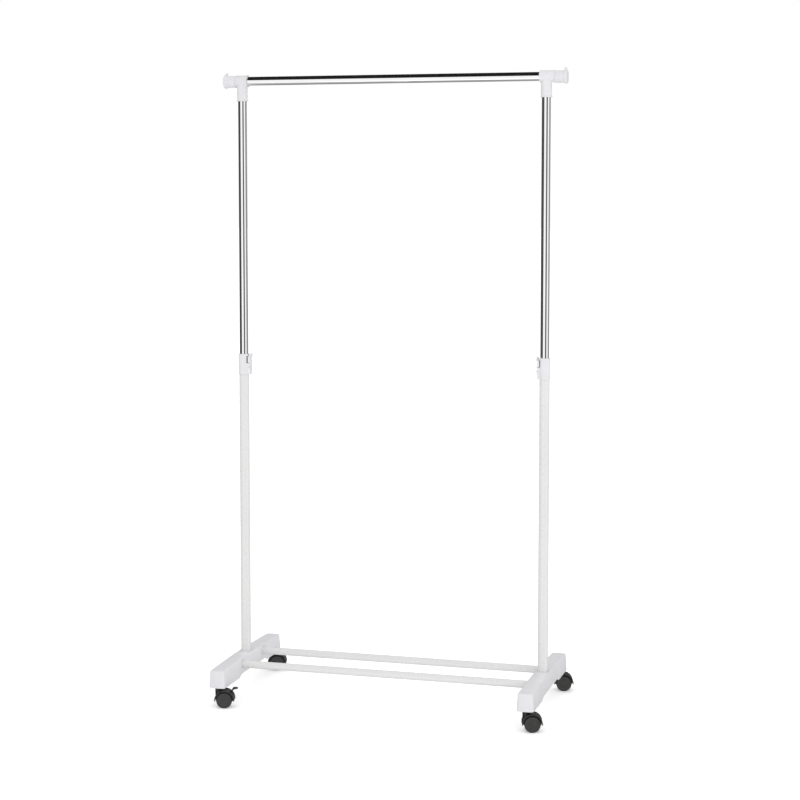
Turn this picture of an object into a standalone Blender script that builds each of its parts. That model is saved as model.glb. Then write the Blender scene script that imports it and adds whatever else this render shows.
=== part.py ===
"""A rolling garment rack: one straight rail on two telescoping uprights, two long feet, four castors.

The origin is on the floor, midway between the uprights. +X runs along the rail, +Y across the rack to
its back, +Z up. Left is -X and front is -Y. Every size is in metres.
"""

import math

import bmesh
import bpy
from mathutils import Matrix, Vector

MM = 0.001
GAP = 0.3 * MM  # running and fitting clearance between neighbours
SIDES = 24  # facets round a tube or a wheel
FINE_SIDES = 12  # facets round a pin, a screw or a bolt
THROUGH = 60 * MM  # how far a cutting shape reaches past what it cuts

# Uprights
UPRIGHT_X = 400 * MM
POST_RADIUS = 12.7 * MM
POST_BORE = 11.5 * MM
POST_BOTTOM = 70.6 * MM
POST_TOP = 870 * MM
PLUG_RADIUS = 11.2 * MM
PLUG_HEIGHT = 20 * MM
MAST_RADIUS = 11 * MM
MAST_BORE = 10 * MM
MAST_BOTTOM = 787 * MM

# Rail
RAIL_Z = 1594.5 * MM
RAIL_HALF_LENGTH = 420.5 * MM
MAST_TOP = RAIL_Z - MAST_RADIUS - 3 * MM
PULL_ROD_RADIUS = 9.5 * MM
PULL_ROD_BORE = 8.5 * MM
PULL_ROD_INNER_END = 96 * MM
END_LONGER = {"left": 0.0, "right": 5.5 * MM}  # how much further out each end cap sits

# Tee connectors, measured from the upright's axis
TEE_ARM_RADIUS = 14.8 * MM
TEE_INNER_REACH = 16 * MM
TEE_OUTER_REACH = 16.2 * MM
TEE_LIP = 0.8 * MM
TEE_STEM_RADIUS = 13.5 * MM
TEE_STEM_BOTTOM = 1543 * MM
TEE_BEAD = 1.2 * MM
TEE_BEAD_WIDTH = 2.4 * MM

# End caps when pushed in, measured from the upright's axis
CAP_INNER = TEE_OUTER_REACH + GAP
CAP_OUTER = 48 * MM
CAP_RADIUS = 15.2 * MM
CAP_LIP_RADIUS = 17.3 * MM
CAP_LIP_WIDTH = 6.4 * MM
CAP_DROP = 1.2 * MM  # the cap's axis lies this far under the rail's
CAP_WALL = 2.5 * MM
CAP_SEAT_DEPTH = 4.5 * MM  # the seat goes over the rail's end
PRONG_TOP = 1616.9 * MM
PRONG_HALF_WIDTH = 4 * MM

# Feet
LEG_HALF_LENGTH = 218.5 * MM
LEG_END_TOP = 95.2 * MM
LEG_CROWN = 4.3 * MM  # how much higher the top is at the middle
LEG_END_BOTTOM = 51.5 * MM
LEG_MIDDLE_BOTTOM = 59 * MM
LEG_TOP_HALF_WIDTH = 18.7 * MM
LEG_DRAFT = 2.6 / 43.7  # widening per metre downwards
LEG_EDGE_RADIUS = 2.5 * MM
LEG_STEP_FROM = 90 * MM
LEG_STEP_TO = 105 * MM
LEG_WALL = 2.6 * MM
LEG_POCKETS = ((19 * MM, 62 * MM), (91 * MM, 188 * MM))  # along Y, the same to both ends

# Bottom bars, and the screws and bolts that come up through the feet
BAR_RADIUS = 9.5 * MM
BAR_BORE = 8.4 * MM
BAR_Y = 76.5 * MM
BAR_Z = 82.5 * MM
BAR_HALF_LENGTH = 403 * MM
SCREW_X = 394 * MM
SCREW_SEAT = POST_BOTTOM - GAP - 3.3 * MM
SCREW_HEAD_RADIUS = 3.8 * MM
SCREW_RADIUS = 1.7 * MM
SCREW_TIP = 80 * MM
BOLT_HEAD_RADIUS = 5.6 * MM
BOLT_RADIUS = 3 * MM
BOLT_TIP = 87 * MM

# Collar and lever, measured outwards from the upright's axis
COLLAR_DROP = {"left": 8 * MM, "right": 0.0}  # how much lower each upright's collar sits
COLLAR_RADIUS = 14.5 * MM
COLLAR_BOTTOM = 842.5 * MM
COLLAR_TOP = 896 * MM
COLLAR_SLOT_X = 9.3 * MM
COLLAR_SLOT_TOP = 890.8 * MM
COLLAR_SLOT_HALF_WIDTH = 12 * MM
CHEEK_INNER = 6.3 * MM
CHEEK_OUTER = 8.5 * MM
CHEEK_REACH = 19.3 * MM
CHEEK_TOP = 872 * MM
LEVER_FACE = 19.8 * MM
LEVER_INNER = 15.4 * MM
LEVER_PIN_OUT = 17 * MM
LEVER_PIN_Z = 862.5 * MM
LEVER_PIN_RADIUS = 1 * MM
TAB_INNER = 12.7 * MM
TAB_HALF_WIDTH = 8.4 * MM
TAB_WAIST = 1.8 * MM
TAB_GAP = 1.2 * MM  # between the cheeks and the tab
TAB_FLANGE_INNER = 16.6 * MM
TAB_FLANGE_FACE = 20.8 * MM
SHOE_HALF_WIDTH = 2.8 * MM
SHOE_BOTTOM = 847 * MM
SHOE_TOP = 853 * MM
COIL_RADIUS = 1.55 * MM
COIL_WIRE_RADIUS = 0.25 * MM
COIL_PITCH = 0.95 * MM
COIL_TURNS = 3

# Castors
CASTOR_Y = 200 * MM
CASTOR_TURN = math.radians(15)  # how far each castor has swivelled at rest
WHEEL_TRAIL = 15 * MM
WHEEL_RADIUS = 20 * MM  # to the flats, so that a wheel rests on one
WHEEL_INNER = 6.2 * MM
WHEEL_OUTER = 17.6 * MM
HOOD_RADIUS = 25.5 * MM
HOOD_BORE = 22.5 * MM
HOOD_HALF_WIDTH = 17.5 * MM
HOOD_WEB = 5.8 * MM
HOOD_TIP_Z = 16.5 * MM
HOOD_TIP_RISE = 4.5 * MM
HOOD_SIDES = 32
STEM_RADIUS = 3.5 * MM
STEM_BOTTOM = 29.5 * MM
STEM_TOP = 74 * MM
BOSS_RADIUS = 9 * MM
AXLE_RADIUS = 2.5 * MM
AXLE_HALF_LENGTH = 15 * MM
PEDAL_PIVOT = (17 * MM, 15 * MM)  # from the wheel's centre
PEDAL_PIN_RADIUS = 0.95 * MM
PEDAL_SLOT_HALF_WIDTH = 3.6 * MM

SIDE_SIGNS = {"left": -1, "right": 1}
END_SIGNS = {"front": -1, "back": 1}


# ---------------------------------------------------------------- materials


def material(name, colour, roughness, metallic=0.0):
    finish = bpy.data.materials.new(name)
    finish.use_nodes = True
    shader = finish.node_tree.nodes["Principled BSDF"]
    shader.inputs["Base Color"].default_value = (*colour, 1.0)
    shader.inputs["Roughness"].default_value = roughness
    shader.inputs["Metallic"].default_value = metallic
    return finish


# ---------------------------------------------------------------- shapes


def turned(profile, sides=SIDES, phase=0.0):
    """A solid turned about Z from (radius, height) points: from axis to axis, or a closed loop."""
    shape = bmesh.new()
    points = [shape.verts.new((radius, 0, height)) for radius, height in profile]
    pairs = list(zip(points, points[1:]))
    if profile[0][0] > 0:
        pairs.append((points[-1], points[0]))
    edges = [shape.edges.new(pair) for pair in pairs]
    bmesh.ops.rotate(shape, verts=points, cent=(0, 0, 0), matrix=Matrix.Rotation(phase, 3, "Z"))
    bmesh.ops.spin(
        shape,
        geom=points + edges,
        cent=(0, 0, 0),
        axis=(0, 0, 1),
        angle=math.tau,
        steps=sides,
        use_merge=True,
    )
    bmesh.ops.remove_doubles(shape, verts=shape.verts, dist=1e-6)
    bmesh.ops.recalc_face_normals(shape, faces=shape.faces)
    return shape


def rod(radius, low, high, sides=SIDES):
    return turned([(0, low), (radius, low), (radius, high), (0, high)], sides)


def tube(radius, bore, low, high):
    return turned([(bore, low), (radius, low), (radius, high), (bore, high)])


def box(low, high):
    shape = bmesh.new()
    bmesh.ops.create_cube(shape, size=1.0)
    low, high = Vector(low), Vector(high)
    size = high - low
    bmesh.ops.scale(shape, vec=size, verts=shape.verts)
    bmesh.ops.translate(shape, vec=(low + high) / 2, verts=shape.verts)
    return shape


def prism(outline, half_width):
    """An (x, z) outline, drawn out to half_width on both sides of the plane y = 0."""
    shape = bmesh.new()
    face = shape.faces.new([shape.verts.new((x, -half_width, z)) for x, z in outline])
    drawn = bmesh.ops.extrude_face_region(shape, geom=[face])
    moved = [item for item in drawn["geom"] if isinstance(item, bmesh.types.BMVert)]
    bmesh.ops.translate(shape, vec=(0, 2 * half_width, 0), verts=moved)
    bmesh.ops.recalc_face_normals(shape, faces=shape.faces)
    return shape


def placed(shape, *moves):
    """Applies the matrices one after another, and mends the normals that a mirror turns."""
    for move in moves:
        bmesh.ops.transform(shape, matrix=move, verts=shape.verts)
    bmesh.ops.recalc_face_normals(shape, faces=shape.faces)
    return shape


def shift(x=0.0, y=0.0, z=0.0):
    return Matrix.Translation((x, y, z))


def outward(side):
    """Turns a shape made with its outer side at +X to the rack's own left or right side."""
    return Matrix.Diagonal((side, 1, 1, 1))


ALONG_X = Matrix.Rotation(math.pi / 2, 4, "Y")
ALONG_Y = Matrix.Rotation(-math.pi / 2, 4, "X")


def group(*shapes):
    """One bmesh that holds several separate bodies, for a Boolean to use together."""
    together = bmesh.new()
    for shape in shapes:
        spare = bpy.data.meshes.new("spare")
        shape.to_mesh(spare)
        together.from_mesh(spare)
        shape.free()
        bpy.data.meshes.remove(spare)
    return together


def spare_object(shape):
    mesh = bpy.data.meshes.new("spare")
    shape.to_mesh(mesh)
    shape.free()
    thing = bpy.data.objects.new("spare", mesh)
    bpy.context.scene.collection.objects.link(thing)
    return thing


def carved(base, *steps, solver="EXACT"):
    """Joins shapes to base or cuts them from it. Each step is ("UNION" or "DIFFERENCE", shape)."""
    body = spare_object(base)
    tools = []
    for operation, shape in steps:
        tool = spare_object(shape)
        tools.append(tool)
        modifier = body.modifiers.new(operation, "BOOLEAN")
        modifier.operation = operation
        modifier.object = tool
        modifier.solver = solver
    result = body.evaluated_get(bpy.context.evaluated_depsgraph_get()).to_mesh()
    shape = bmesh.new()
    shape.from_mesh(result)
    for thing in (body, *tools):
        mesh = thing.data
        bpy.data.objects.remove(thing)
        bpy.data.meshes.remove(mesh)
    bmesh.ops.remove_doubles(shape, verts=shape.verts, dist=2e-6)
    return shape


def mesh_from(shape, name):
    mesh = bpy.data.meshes.new(name)
    shape.to_mesh(mesh)
    shape.free()
    mesh.shade_smooth()
    mesh.set_sharp_from_angle(angle=math.radians(35))
    return mesh


def part(name, shape, finish, pivot=(0, 0, 0), parent=None):
    """Puts a shape into the scene as a node, with its origin on its own pivot. A mesh may be shared."""
    if isinstance(shape, bmesh.types.BMesh):
        bmesh.ops.translate(shape, vec=-Vector(pivot), verts=shape.verts)
        shape = mesh_from(shape, name)
        shape.materials.append(finish)
    thing = bpy.data.objects.new(name, shape)
    thing.location = pivot
    bpy.context.scene.collection.objects.link(thing)
    if parent:
        thing.parent = parent
        thing.matrix_parent_inverse = Matrix.Translation(-Vector(parent.location))
    return thing


# ---------------------------------------------------------------- feet and bottom bars


def leg_top(y):
    return LEG_END_TOP + LEG_CROWN * (1 - (y / LEG_HALF_LENGTH) ** 2)


def leg_bottom(y):
    across = (abs(y) - LEG_STEP_FROM) / (LEG_STEP_TO - LEG_STEP_FROM)
    across = min(max(across, 0.0), 1.0)
    return LEG_MIDDLE_BOTTOM + (LEG_END_BOTTOM - LEG_MIDDLE_BOTTOM) * across


def leg_stations():
    """(y, share of the full width): the ends are bowed in plan, with rounded corners."""
    ends = [(0.0, 0.22), (0.9, 0.50), (2.6, 0.82), (4.2, 0.94), (8.0, 1.0)]
    half = [(LEG_HALF_LENGTH - inset * MM, share) for inset, share in ends]
    half += [(y * MM, 1.0) for y in (160, 105, 90, 50)]
    return half + [(0.0, 1.0)] + [(-y, share) for y, share in reversed(half)]


def leg_section(y, share):
    """One cross-section of a foot, wider at the bottom, with its top edges rounded."""
    top, bottom = leg_top(y), leg_bottom(y)
    half_width = LEG_TOP_HALF_WIDTH
    right = [(half_width + (top - bottom) * LEG_DRAFT, bottom)]
    for step in range(4):
        angle = math.radians(30 * step)
        right.append(
            (
                half_width - LEG_EDGE_RADIUS * (1 - math.cos(angle)),
                top - LEG_EDGE_RADIUS * (1 - math.sin(angle)),
            )
        )
    left = [(-x, z) for x, z in reversed(right)]
    return [(x * share, y, z) for x, z in right + left]


def leg_outside():
    shape = bmesh.new()
    rings = [[shape.verts.new(point) for point in leg_section(*station)] for station in leg_stations()]
    for ring, following in zip(rings, rings[1:]):
        for index in range(len(ring)):
            after = (index + 1) % len(ring)
            shape.faces.new((ring[index], ring[after], following[after], following[index]))
    shape.faces.new(rings[0])
    shape.faces.new(rings[-1])
    bmesh.ops.recalc_face_normals(shape, faces=shape.faces)
    return shape


def leg(side):
    """A moulded foot: pockets from below, blocks round the sockets of the post, bars and castor stems."""
    pocket_half = LEG_TOP_HALF_WIDTH - LEG_WALL
    below = LEG_END_BOTTOM - 5 * MM
    cuts = [
        rod(POST_RADIUS + GAP, POST_BOTTOM - GAP, POST_BOTTOM + THROUGH),
        rod(BOLT_HEAD_RADIUS + 0.9 * MM, below, SCREW_SEAT),
        rod(BOLT_RADIUS + GAP, below, POST_BOTTOM, FINE_SIDES),
    ]
    for end in END_SIGNS.values():
        for near, far in LEG_POCKETS:
            first, last = sorted((end * near, end * far))
            high = min(leg_top(near), leg_top(far)) - LEG_WALL
            cuts.append(box((-pocket_half, first, below), (pocket_half, last, high)))
        stem_hole = rod(STEM_RADIUS + GAP, below, STEM_TOP + GAP, FINE_SIDES)
        cuts.append(placed(stem_hole, shift(0, end * CASTOR_Y, 0)))
        socket = rod(BAR_RADIUS + GAP, -THROUGH, BAR_HALF_LENGTH - UPRIGHT_X + GAP)
        cuts.append(placed(socket, ALONG_X, shift(0, end * BAR_Y, BAR_Z)))
        head_way, shank_way = SCREW_HEAD_RADIUS + 0.4 * MM, SCREW_RADIUS + 0.4 * MM
        screw_hole = turned(
            [
                (0, below),
                (head_way, below),
                (head_way, SCREW_SEAT),
                (shank_way, SCREW_SEAT),
                (shank_way, BAR_Z),
                (0, BAR_Z),
            ],
            FINE_SIDES,
        )
        cuts.append(placed(screw_hole, shift(SCREW_X - UPRIGHT_X, end * BAR_Y, 0)))
    steps = [("DIFFERENCE", cut) for cut in cuts]
    return placed(carved(leg_outside(), *steps), outward(side), shift(side * UPRIGHT_X))


def crossbar(end):
    """A bottom bar, with the hole for a screw near each of its ends."""
    bar = placed(tube(BAR_RADIUS, BAR_BORE, -BAR_HALF_LENGTH, BAR_HALF_LENGTH), ALONG_X, shift(0, 0, BAR_Z))
    holes = [
        placed(rod(SCREW_RADIUS + 0.4 * MM, BAR_Z - 14 * MM, BAR_Z, FINE_SIDES), shift(side * SCREW_X))
        for side in SIDE_SIGNS.values()
    ]
    return placed(carved(bar, ("DIFFERENCE", group(*holes))), shift(0, end * BAR_Y))


def screw(head_radius, shank_radius, head_height, tip):
    """A screw that points up, with a domed head just under its seat."""
    head_top = SCREW_SEAT - GAP
    head_bottom = head_top - head_height
    return turned(
        [
            (0, head_bottom),
            (head_radius * 0.7, head_bottom),
            (head_radius, head_bottom + head_height * 0.5),
            (head_radius, head_top),
            (shank_radius, head_top),
            (shank_radius, tip - shank_radius * 0.6),
            (shank_radius * 0.4, tip),
            (0, tip),
        ],
        FINE_SIDES,
    )


# ---------------------------------------------------------------- uprights


def shoe_window():
    """The window through post and collar that lets the grip shoe reach the mast."""
    half_width = SHOE_HALF_WIDTH + 0.5 * MM
    return box((8 * MM, -half_width, SHOE_BOTTOM - 1.8 * MM), (18 * MM, half_width, SHOE_TOP + 0.8 * MM))


def post(side, drop):
    """The lower tube, with the window for the grip shoe."""
    pipe = tube(POST_RADIUS, POST_BORE, POST_BOTTOM, POST_TOP - drop)
    window = placed(shoe_window(), shift(0, 0, -drop))
    return placed(carved(pipe, ("DIFFERENCE", window)), outward(-side), shift(side * UPRIGHT_X))


def post_plug():
    bore = BOLT_RADIUS + GAP
    high = POST_BOTTOM + PLUG_HEIGHT
    return turned([(bore, POST_BOTTOM), (PLUG_RADIUS, POST_BOTTOM), (PLUG_RADIUS, high), (bore, high)])


def mast_foot():
    """A bush that keeps the mast in the middle of the post, with a spigot up into the mast."""
    shoulder = MAST_BOTTOM - GAP
    spigot = MAST_BORE - GAP
    return turned(
        [
            (0, shoulder - 6 * MM),
            (PLUG_RADIUS - 0.8 * MM, shoulder - 6 * MM),
            (PLUG_RADIUS, shoulder - 5 * MM),
            (PLUG_RADIUS, shoulder),
            (spigot, shoulder),
            (spigot, shoulder + 12 * MM),
            (0, shoulder + 12 * MM),
        ]
    )


def lever_pin_hole():
    hole = rod(LEVER_PIN_RADIUS + GAP, -10 * MM, 10 * MM, FINE_SIDES)
    return placed(hole, ALONG_Y, shift(LEVER_PIN_OUT, 0, LEVER_PIN_Z))


def collar(side, drop):
    """The sleeve on top of the post: two cheeks for the lever's pin, and over them a slot for its tab."""
    shoulder = POST_TOP + GAP
    sleeve = turned(
        [
            (POST_RADIUS + GAP, COLLAR_BOTTOM),
            (COLLAR_RADIUS - 0.5 * MM, COLLAR_BOTTOM),
            (COLLAR_RADIUS, COLLAR_BOTTOM + 0.7 * MM),
            (COLLAR_RADIUS, COLLAR_TOP - 1.2 * MM),
            (COLLAR_RADIUS - 1 * MM, COLLAR_TOP),
            (MAST_RADIUS + GAP, COLLAR_TOP),
            (MAST_RADIUS + GAP, shoulder),
            (POST_RADIUS + GAP, shoulder),
        ]
    )
    cheeks = [
        box((11 * MM, min(inner, outer), COLLAR_BOTTOM), (CHEEK_REACH, max(inner, outer), CHEEK_TOP))
        for inner, outer in ((CHEEK_INNER, CHEEK_OUTER), (-CHEEK_INNER, -CHEEK_OUTER))
    ]
    slot_half = COLLAR_SLOT_HALF_WIDTH
    tab_slot = box((COLLAR_SLOT_X, -slot_half, CHEEK_TOP), (THROUGH, slot_half, COLLAR_SLOT_TOP))
    whole = carved(
        sleeve,
        ("UNION", cheeks[0]),
        ("UNION", cheeks[1]),
        ("DIFFERENCE", rod(POST_RADIUS + GAP, COLLAR_BOTTOM - 2 * MM, shoulder)),
        ("DIFFERENCE", tab_slot),
        ("DIFFERENCE", shoe_window()),
        ("DIFFERENCE", lever_pin_hole()),
    )
    return placed(whole, outward(-side), shift(side * UPRIGHT_X, 0, -drop))


def lock_lever(side, drop):
    """The lever: a narrow lower half between the cheeks, and a wide tab with a waist and a flange on top."""
    low, high = COLLAR_BOTTOM + MM, COLLAR_TOP + 1.5 * MM
    tab_low, tab_high = CHEEK_TOP + TAB_GAP, COLLAR_SLOT_TOP - 0.6 * MM
    waist_from, waist_to = tab_low + 2.4 * MM, tab_high - 1.2 * MM
    steps = 6
    waist = [
        (
            LEVER_FACE - TAB_WAIST * math.sin(math.pi * step / steps),
            waist_from + (waist_to - waist_from) * step / steps,
        )
        for step in range(steps + 1)
    ]
    flange = [
        (TAB_FLANGE_FACE, tab_high + MM),
        (TAB_FLANGE_FACE, high - 0.8 * MM),
        (TAB_FLANGE_FACE - 0.8 * MM, high),
        (TAB_FLANGE_INNER + 0.8 * MM, high),
        (TAB_FLANGE_INNER, high - 0.8 * MM),
        (TAB_FLANGE_INNER, tab_high),
        (TAB_INNER, tab_high),
    ]
    tab = prism([(TAB_INNER, tab_low), (LEVER_FACE, tab_low)] + waist + flange, TAB_HALF_WIDTH)
    lower = prism(
        [
            (LEVER_INNER, low),
            (LEVER_FACE - 0.8 * MM, low),
            (LEVER_FACE, low + 0.8 * MM),
            (LEVER_FACE, tab_low + MM),
            (LEVER_FACE - MM, tab_low + 2 * MM),
            (LEVER_INNER + MM, tab_low + 2 * MM),
            (LEVER_INNER, tab_low + MM),
        ],
        CHEEK_INNER - GAP,
    )
    room = COIL_RADIUS + COIL_WIRE_RADIUS + GAP
    spring_slot = box(
        (LEVER_INNER - 3 * MM, -1.9 * MM, LEVER_PIN_Z - room),
        (LEVER_PIN_OUT + room, 1.9 * MM, LEVER_PIN_Z + room),
    )
    whole = carved(tab, ("UNION", lower), ("DIFFERENCE", lever_pin_hole()), ("DIFFERENCE", spring_slot))
    return placed(whole, outward(-side), shift(side * UPRIGHT_X, 0, -drop))


def spring_path():
    """A closely wound coil round the pin, drawn in the plane across it."""
    steps_per_turn = 10
    for step in range(COIL_TURNS * steps_per_turn + 1):
        turn = step / steps_per_turn
        angle = math.tau * turn
        along = COIL_PITCH * (turn - COIL_TURNS / 2)
        yield COIL_RADIUS * math.cos(angle), along, COIL_RADIUS * math.sin(angle)


def lever_spring(name, side, pivot, finish, parent):
    path = bpy.data.curves.new(name, "CURVE")
    path.dimensions = "3D"
    path.bevel_depth = COIL_WIRE_RADIUS
    path.bevel_resolution = 1
    path.use_fill_caps = True
    spline = path.splines.new("POLY")
    points = list(spring_path())
    spline.points.add(len(points) - 1)
    for knot, (x, y, z) in zip(spline.points, points):
        knot.co = (-side * x, y, z, 1)
    path.materials.append(finish)
    return part(name, path, finish, pivot, parent)


# ---------------------------------------------------------------- rail


def tee(side, longer):
    """A moulded tee: the arm runs along the rail and ends at the cap, and the stem takes the mast."""
    lip = TEE_ARM_RADIUS + TEE_LIP
    arm = turned(
        [
            (0, -TEE_INNER_REACH),
            (lip - 0.6 * MM, -TEE_INNER_REACH),
            (lip, -TEE_INNER_REACH + 0.8 * MM),
            (lip, -TEE_INNER_REACH + TEE_BEAD_WIDTH),
            (TEE_ARM_RADIUS, -TEE_INNER_REACH + TEE_BEAD_WIDTH + 0.5 * MM),
            (TEE_ARM_RADIUS, TEE_OUTER_REACH + longer),
            (0, TEE_OUTER_REACH + longer),
        ]
    )
    bead_low = TEE_STEM_BOTTOM + TEE_BEAD_WIDTH
    stem = turned(
        [
            (0, TEE_STEM_BOTTOM),
            (TEE_STEM_RADIUS + 0.4 * MM, TEE_STEM_BOTTOM),
            (TEE_STEM_RADIUS + TEE_BEAD, TEE_STEM_BOTTOM + 0.7 * MM),
            (TEE_STEM_RADIUS + TEE_BEAD, bead_low),
            (TEE_STEM_RADIUS, bead_low + 0.8 * MM),
            (TEE_STEM_RADIUS, RAIL_Z),
            (0, RAIL_Z),
        ]
    )
    rail_bore = rod(MAST_RADIUS + GAP, -THROUGH, THROUGH)
    whole = carved(
        placed(arm, ALONG_X, shift(0, 0, RAIL_Z)),
        ("UNION", stem),
        ("DIFFERENCE", placed(rail_bore, ALONG_X, shift(0, 0, RAIL_Z))),
        ("DIFFERENCE", rod(MAST_RADIUS + GAP, TEE_STEM_BOTTOM - THROUGH, MAST_TOP + GAP)),
        solver="MANIFOLD",
    )
    return placed(whole, outward(side), shift(side * UPRIGHT_X))


def end_cap(side, longer):
    """The cap on a pull-out rod: a closed cup that hangs a little low, with a prong for the hangers."""
    inner, outer = CAP_INNER, CAP_OUTER
    lip_from = outer - CAP_LIP_WIDTH
    cup = turned(
        [
            (0, inner),
            (CAP_RADIUS - 0.6 * MM, inner),
            (CAP_RADIUS, inner + 0.6 * MM),
            (CAP_RADIUS, lip_from - 1.5 * MM),
            (CAP_LIP_RADIUS, lip_from),
            (CAP_LIP_RADIUS, outer - 2.5 * MM),
            (CAP_LIP_RADIUS - 1 * MM, outer - 0.8 * MM),
            (CAP_LIP_RADIUS - 3.2 * MM, outer),
            (0, outer),
        ]
    )
    foot_z = RAIL_Z - CAP_DROP + CAP_LIP_RADIUS - 3 * MM
    prong_outline = [
        (outer - 8.8 * MM, foot_z),
        (outer - 0.6 * MM, foot_z),
        (outer - 0.6 * MM, foot_z + 3.2 * MM),
        (outer - 4.2 * MM, PRONG_TOP - 1 * MM),
        (outer - 5.0 * MM, PRONG_TOP),
        (outer - 7.0 * MM, PRONG_TOP),
        (outer - 7.8 * MM, PRONG_TOP - 1 * MM),
    ]
    seat = rod(MAST_RADIUS + GAP, inner - MM, inner + CAP_SEAT_DEPTH)
    rod_hole = rod(PULL_ROD_RADIUS + GAP, inner - MM, outer - CAP_WALL)
    whole = carved(
        placed(cup, ALONG_X, shift(0, 0, RAIL_Z - CAP_DROP)),
        ("UNION", prism(prong_outline, PRONG_HALF_WIDTH)),
        ("DIFFERENCE", placed(rod_hole, ALONG_X, shift(0, 0, RAIL_Z))),
        ("DIFFERENCE", placed(seat, ALONG_X, shift(0, 0, RAIL_Z))),
    )
    return placed(whole, outward(side), shift(side * (UPRIGHT_X + longer)))


def pull_rod(side, longer):
    outer_end = UPRIGHT_X + CAP_OUTER - CAP_WALL - GAP
    pipe = tube(PULL_ROD_RADIUS, PULL_ROD_BORE, PULL_ROD_INNER_END, outer_end)
    return placed(pipe, ALONG_X, outward(side), shift(side * longer, 0, RAIL_Z))


def rod_bush(side, longer):
    """The bush in the inner end of a pull-out rod, which keeps it in the middle of the rail."""
    shoulder = PULL_ROD_INNER_END - GAP
    bush_radius, spigot = MAST_BORE - GAP, PULL_ROD_BORE - GAP
    bush = turned(
        [
            (0, shoulder - 5 * MM),
            (bush_radius - 0.5 * MM, shoulder - 5 * MM),
            (bush_radius, shoulder - 4.4 * MM),
            (bush_radius, shoulder),
            (spigot, shoulder),
            (spigot, shoulder + 10 * MM),
            (0, shoulder + 10 * MM),
        ]
    )
    return placed(bush, ALONG_X, outward(side), shift(side * longer, 0, RAIL_Z))


# ---------------------------------------------------------------- castors, made about the stem's axis


def at_wheel(shape):
    return placed(shape, ALONG_Y, shift(WHEEL_TRAIL, 0, WHEEL_RADIUS))


def pedal_pin_hole():
    x, z = WHEEL_TRAIL + PEDAL_PIVOT[0], WHEEL_RADIUS + PEDAL_PIVOT[1]
    return placed(rod(PEDAL_PIN_RADIUS + GAP, -THROUGH, THROUGH, FINE_SIDES), ALONG_Y, shift(x, 0, z))


def under_hood():
    """What is cut off below the hood: its ends are cut at a slant, which leaves a point on each."""
    middle, low = WHEEL_TRAIL, HOOD_TIP_Z
    outline = [(middle - THROUGH, -THROUGH), (middle + THROUGH, -THROUGH), (middle + THROUGH, low)]
    inside = HOOD_BORE - 0.2 * MM
    outline += [(middle + HOOD_RADIUS, low), (middle + inside, low + HOOD_TIP_RISE), (middle + inside, low)]
    outline += [(middle - inside, low), (middle - inside, low + HOOD_TIP_RISE), (middle - HOOD_RADIUS, low)]
    return prism(outline + [(middle - THROUGH, low)], THROUGH)


def castor_hood(braked):
    """The hood: a fender over both wheels, a web between them, and the swivel boss on its lead end."""
    fender = at_wheel(rod(HOOD_RADIUS, -HOOD_HALF_WIDTH, HOOD_HALF_WIDTH, HOOD_SIDES))
    boss = rod(BOSS_RADIUS, WHEEL_RADIUS + 12 * MM, LEG_END_BOTTOM - GAP, 20)
    clearances = [
        at_wheel(rod(HOOD_BORE, low, high, HOOD_SIDES))
        for low, high in ((HOOD_WEB, THROUGH), (-THROUGH, -HOOD_WEB))
    ]
    steps = [
        ("UNION", boss),
        ("DIFFERENCE", clearances[0]),
        ("DIFFERENCE", clearances[1]),
        ("DIFFERENCE", under_hood()),
        ("DIFFERENCE", rod(STEM_RADIUS + GAP, STEM_BOTTOM - GAP, STEM_TOP, FINE_SIDES)),
        ("DIFFERENCE", at_wheel(rod(AXLE_RADIUS + GAP, -THROUGH, THROUGH, FINE_SIDES))),
    ]
    if braked:
        x, z = WHEEL_TRAIL + PEDAL_PIVOT[0], WHEEL_RADIUS + PEDAL_PIVOT[1]
        half = PEDAL_SLOT_HALF_WIDTH
        slot = box((x - 5 * MM, -half, z - 4.5 * MM), (x + 30 * MM, half, z + 20 * MM))
        steps += [("DIFFERENCE", slot), ("DIFFERENCE", pedal_pin_hole())]
    return carved(fender, *steps, solver="MANIFOLD")


def castor_stem():
    return turned(
        [
            (0, STEM_BOTTOM),
            (STEM_RADIUS, STEM_BOTTOM),
            (STEM_RADIUS, STEM_TOP - 1 * MM),
            (STEM_RADIUS - 1 * MM, STEM_TOP),
            (0, STEM_TOP),
        ],
        FINE_SIDES,
    )


def castor_wheel(facing):
    """One wheel of a pair: a flat lies on the floor, and the axle's bore is blind, from the inner side."""
    rim = WHEEL_RADIUS / math.cos(math.pi / SIDES)
    chamfer = 0.8 * MM
    bore = AXLE_RADIUS + GAP
    bore_end = AXLE_HALF_LENGTH + GAP
    wheel = turned(
        [
            (0, WHEEL_OUTER),
            (rim - chamfer, WHEEL_OUTER),
            (rim, WHEEL_OUTER - chamfer),
            (rim, WHEEL_INNER),
            (bore, WHEEL_INNER),
            (bore, bore_end),
            (0, bore_end),
        ],
        SIDES,
        math.pi / SIDES,
    )
    return placed(at_wheel(wheel), Matrix.Diagonal((1, facing, 1, 1)))


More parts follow.
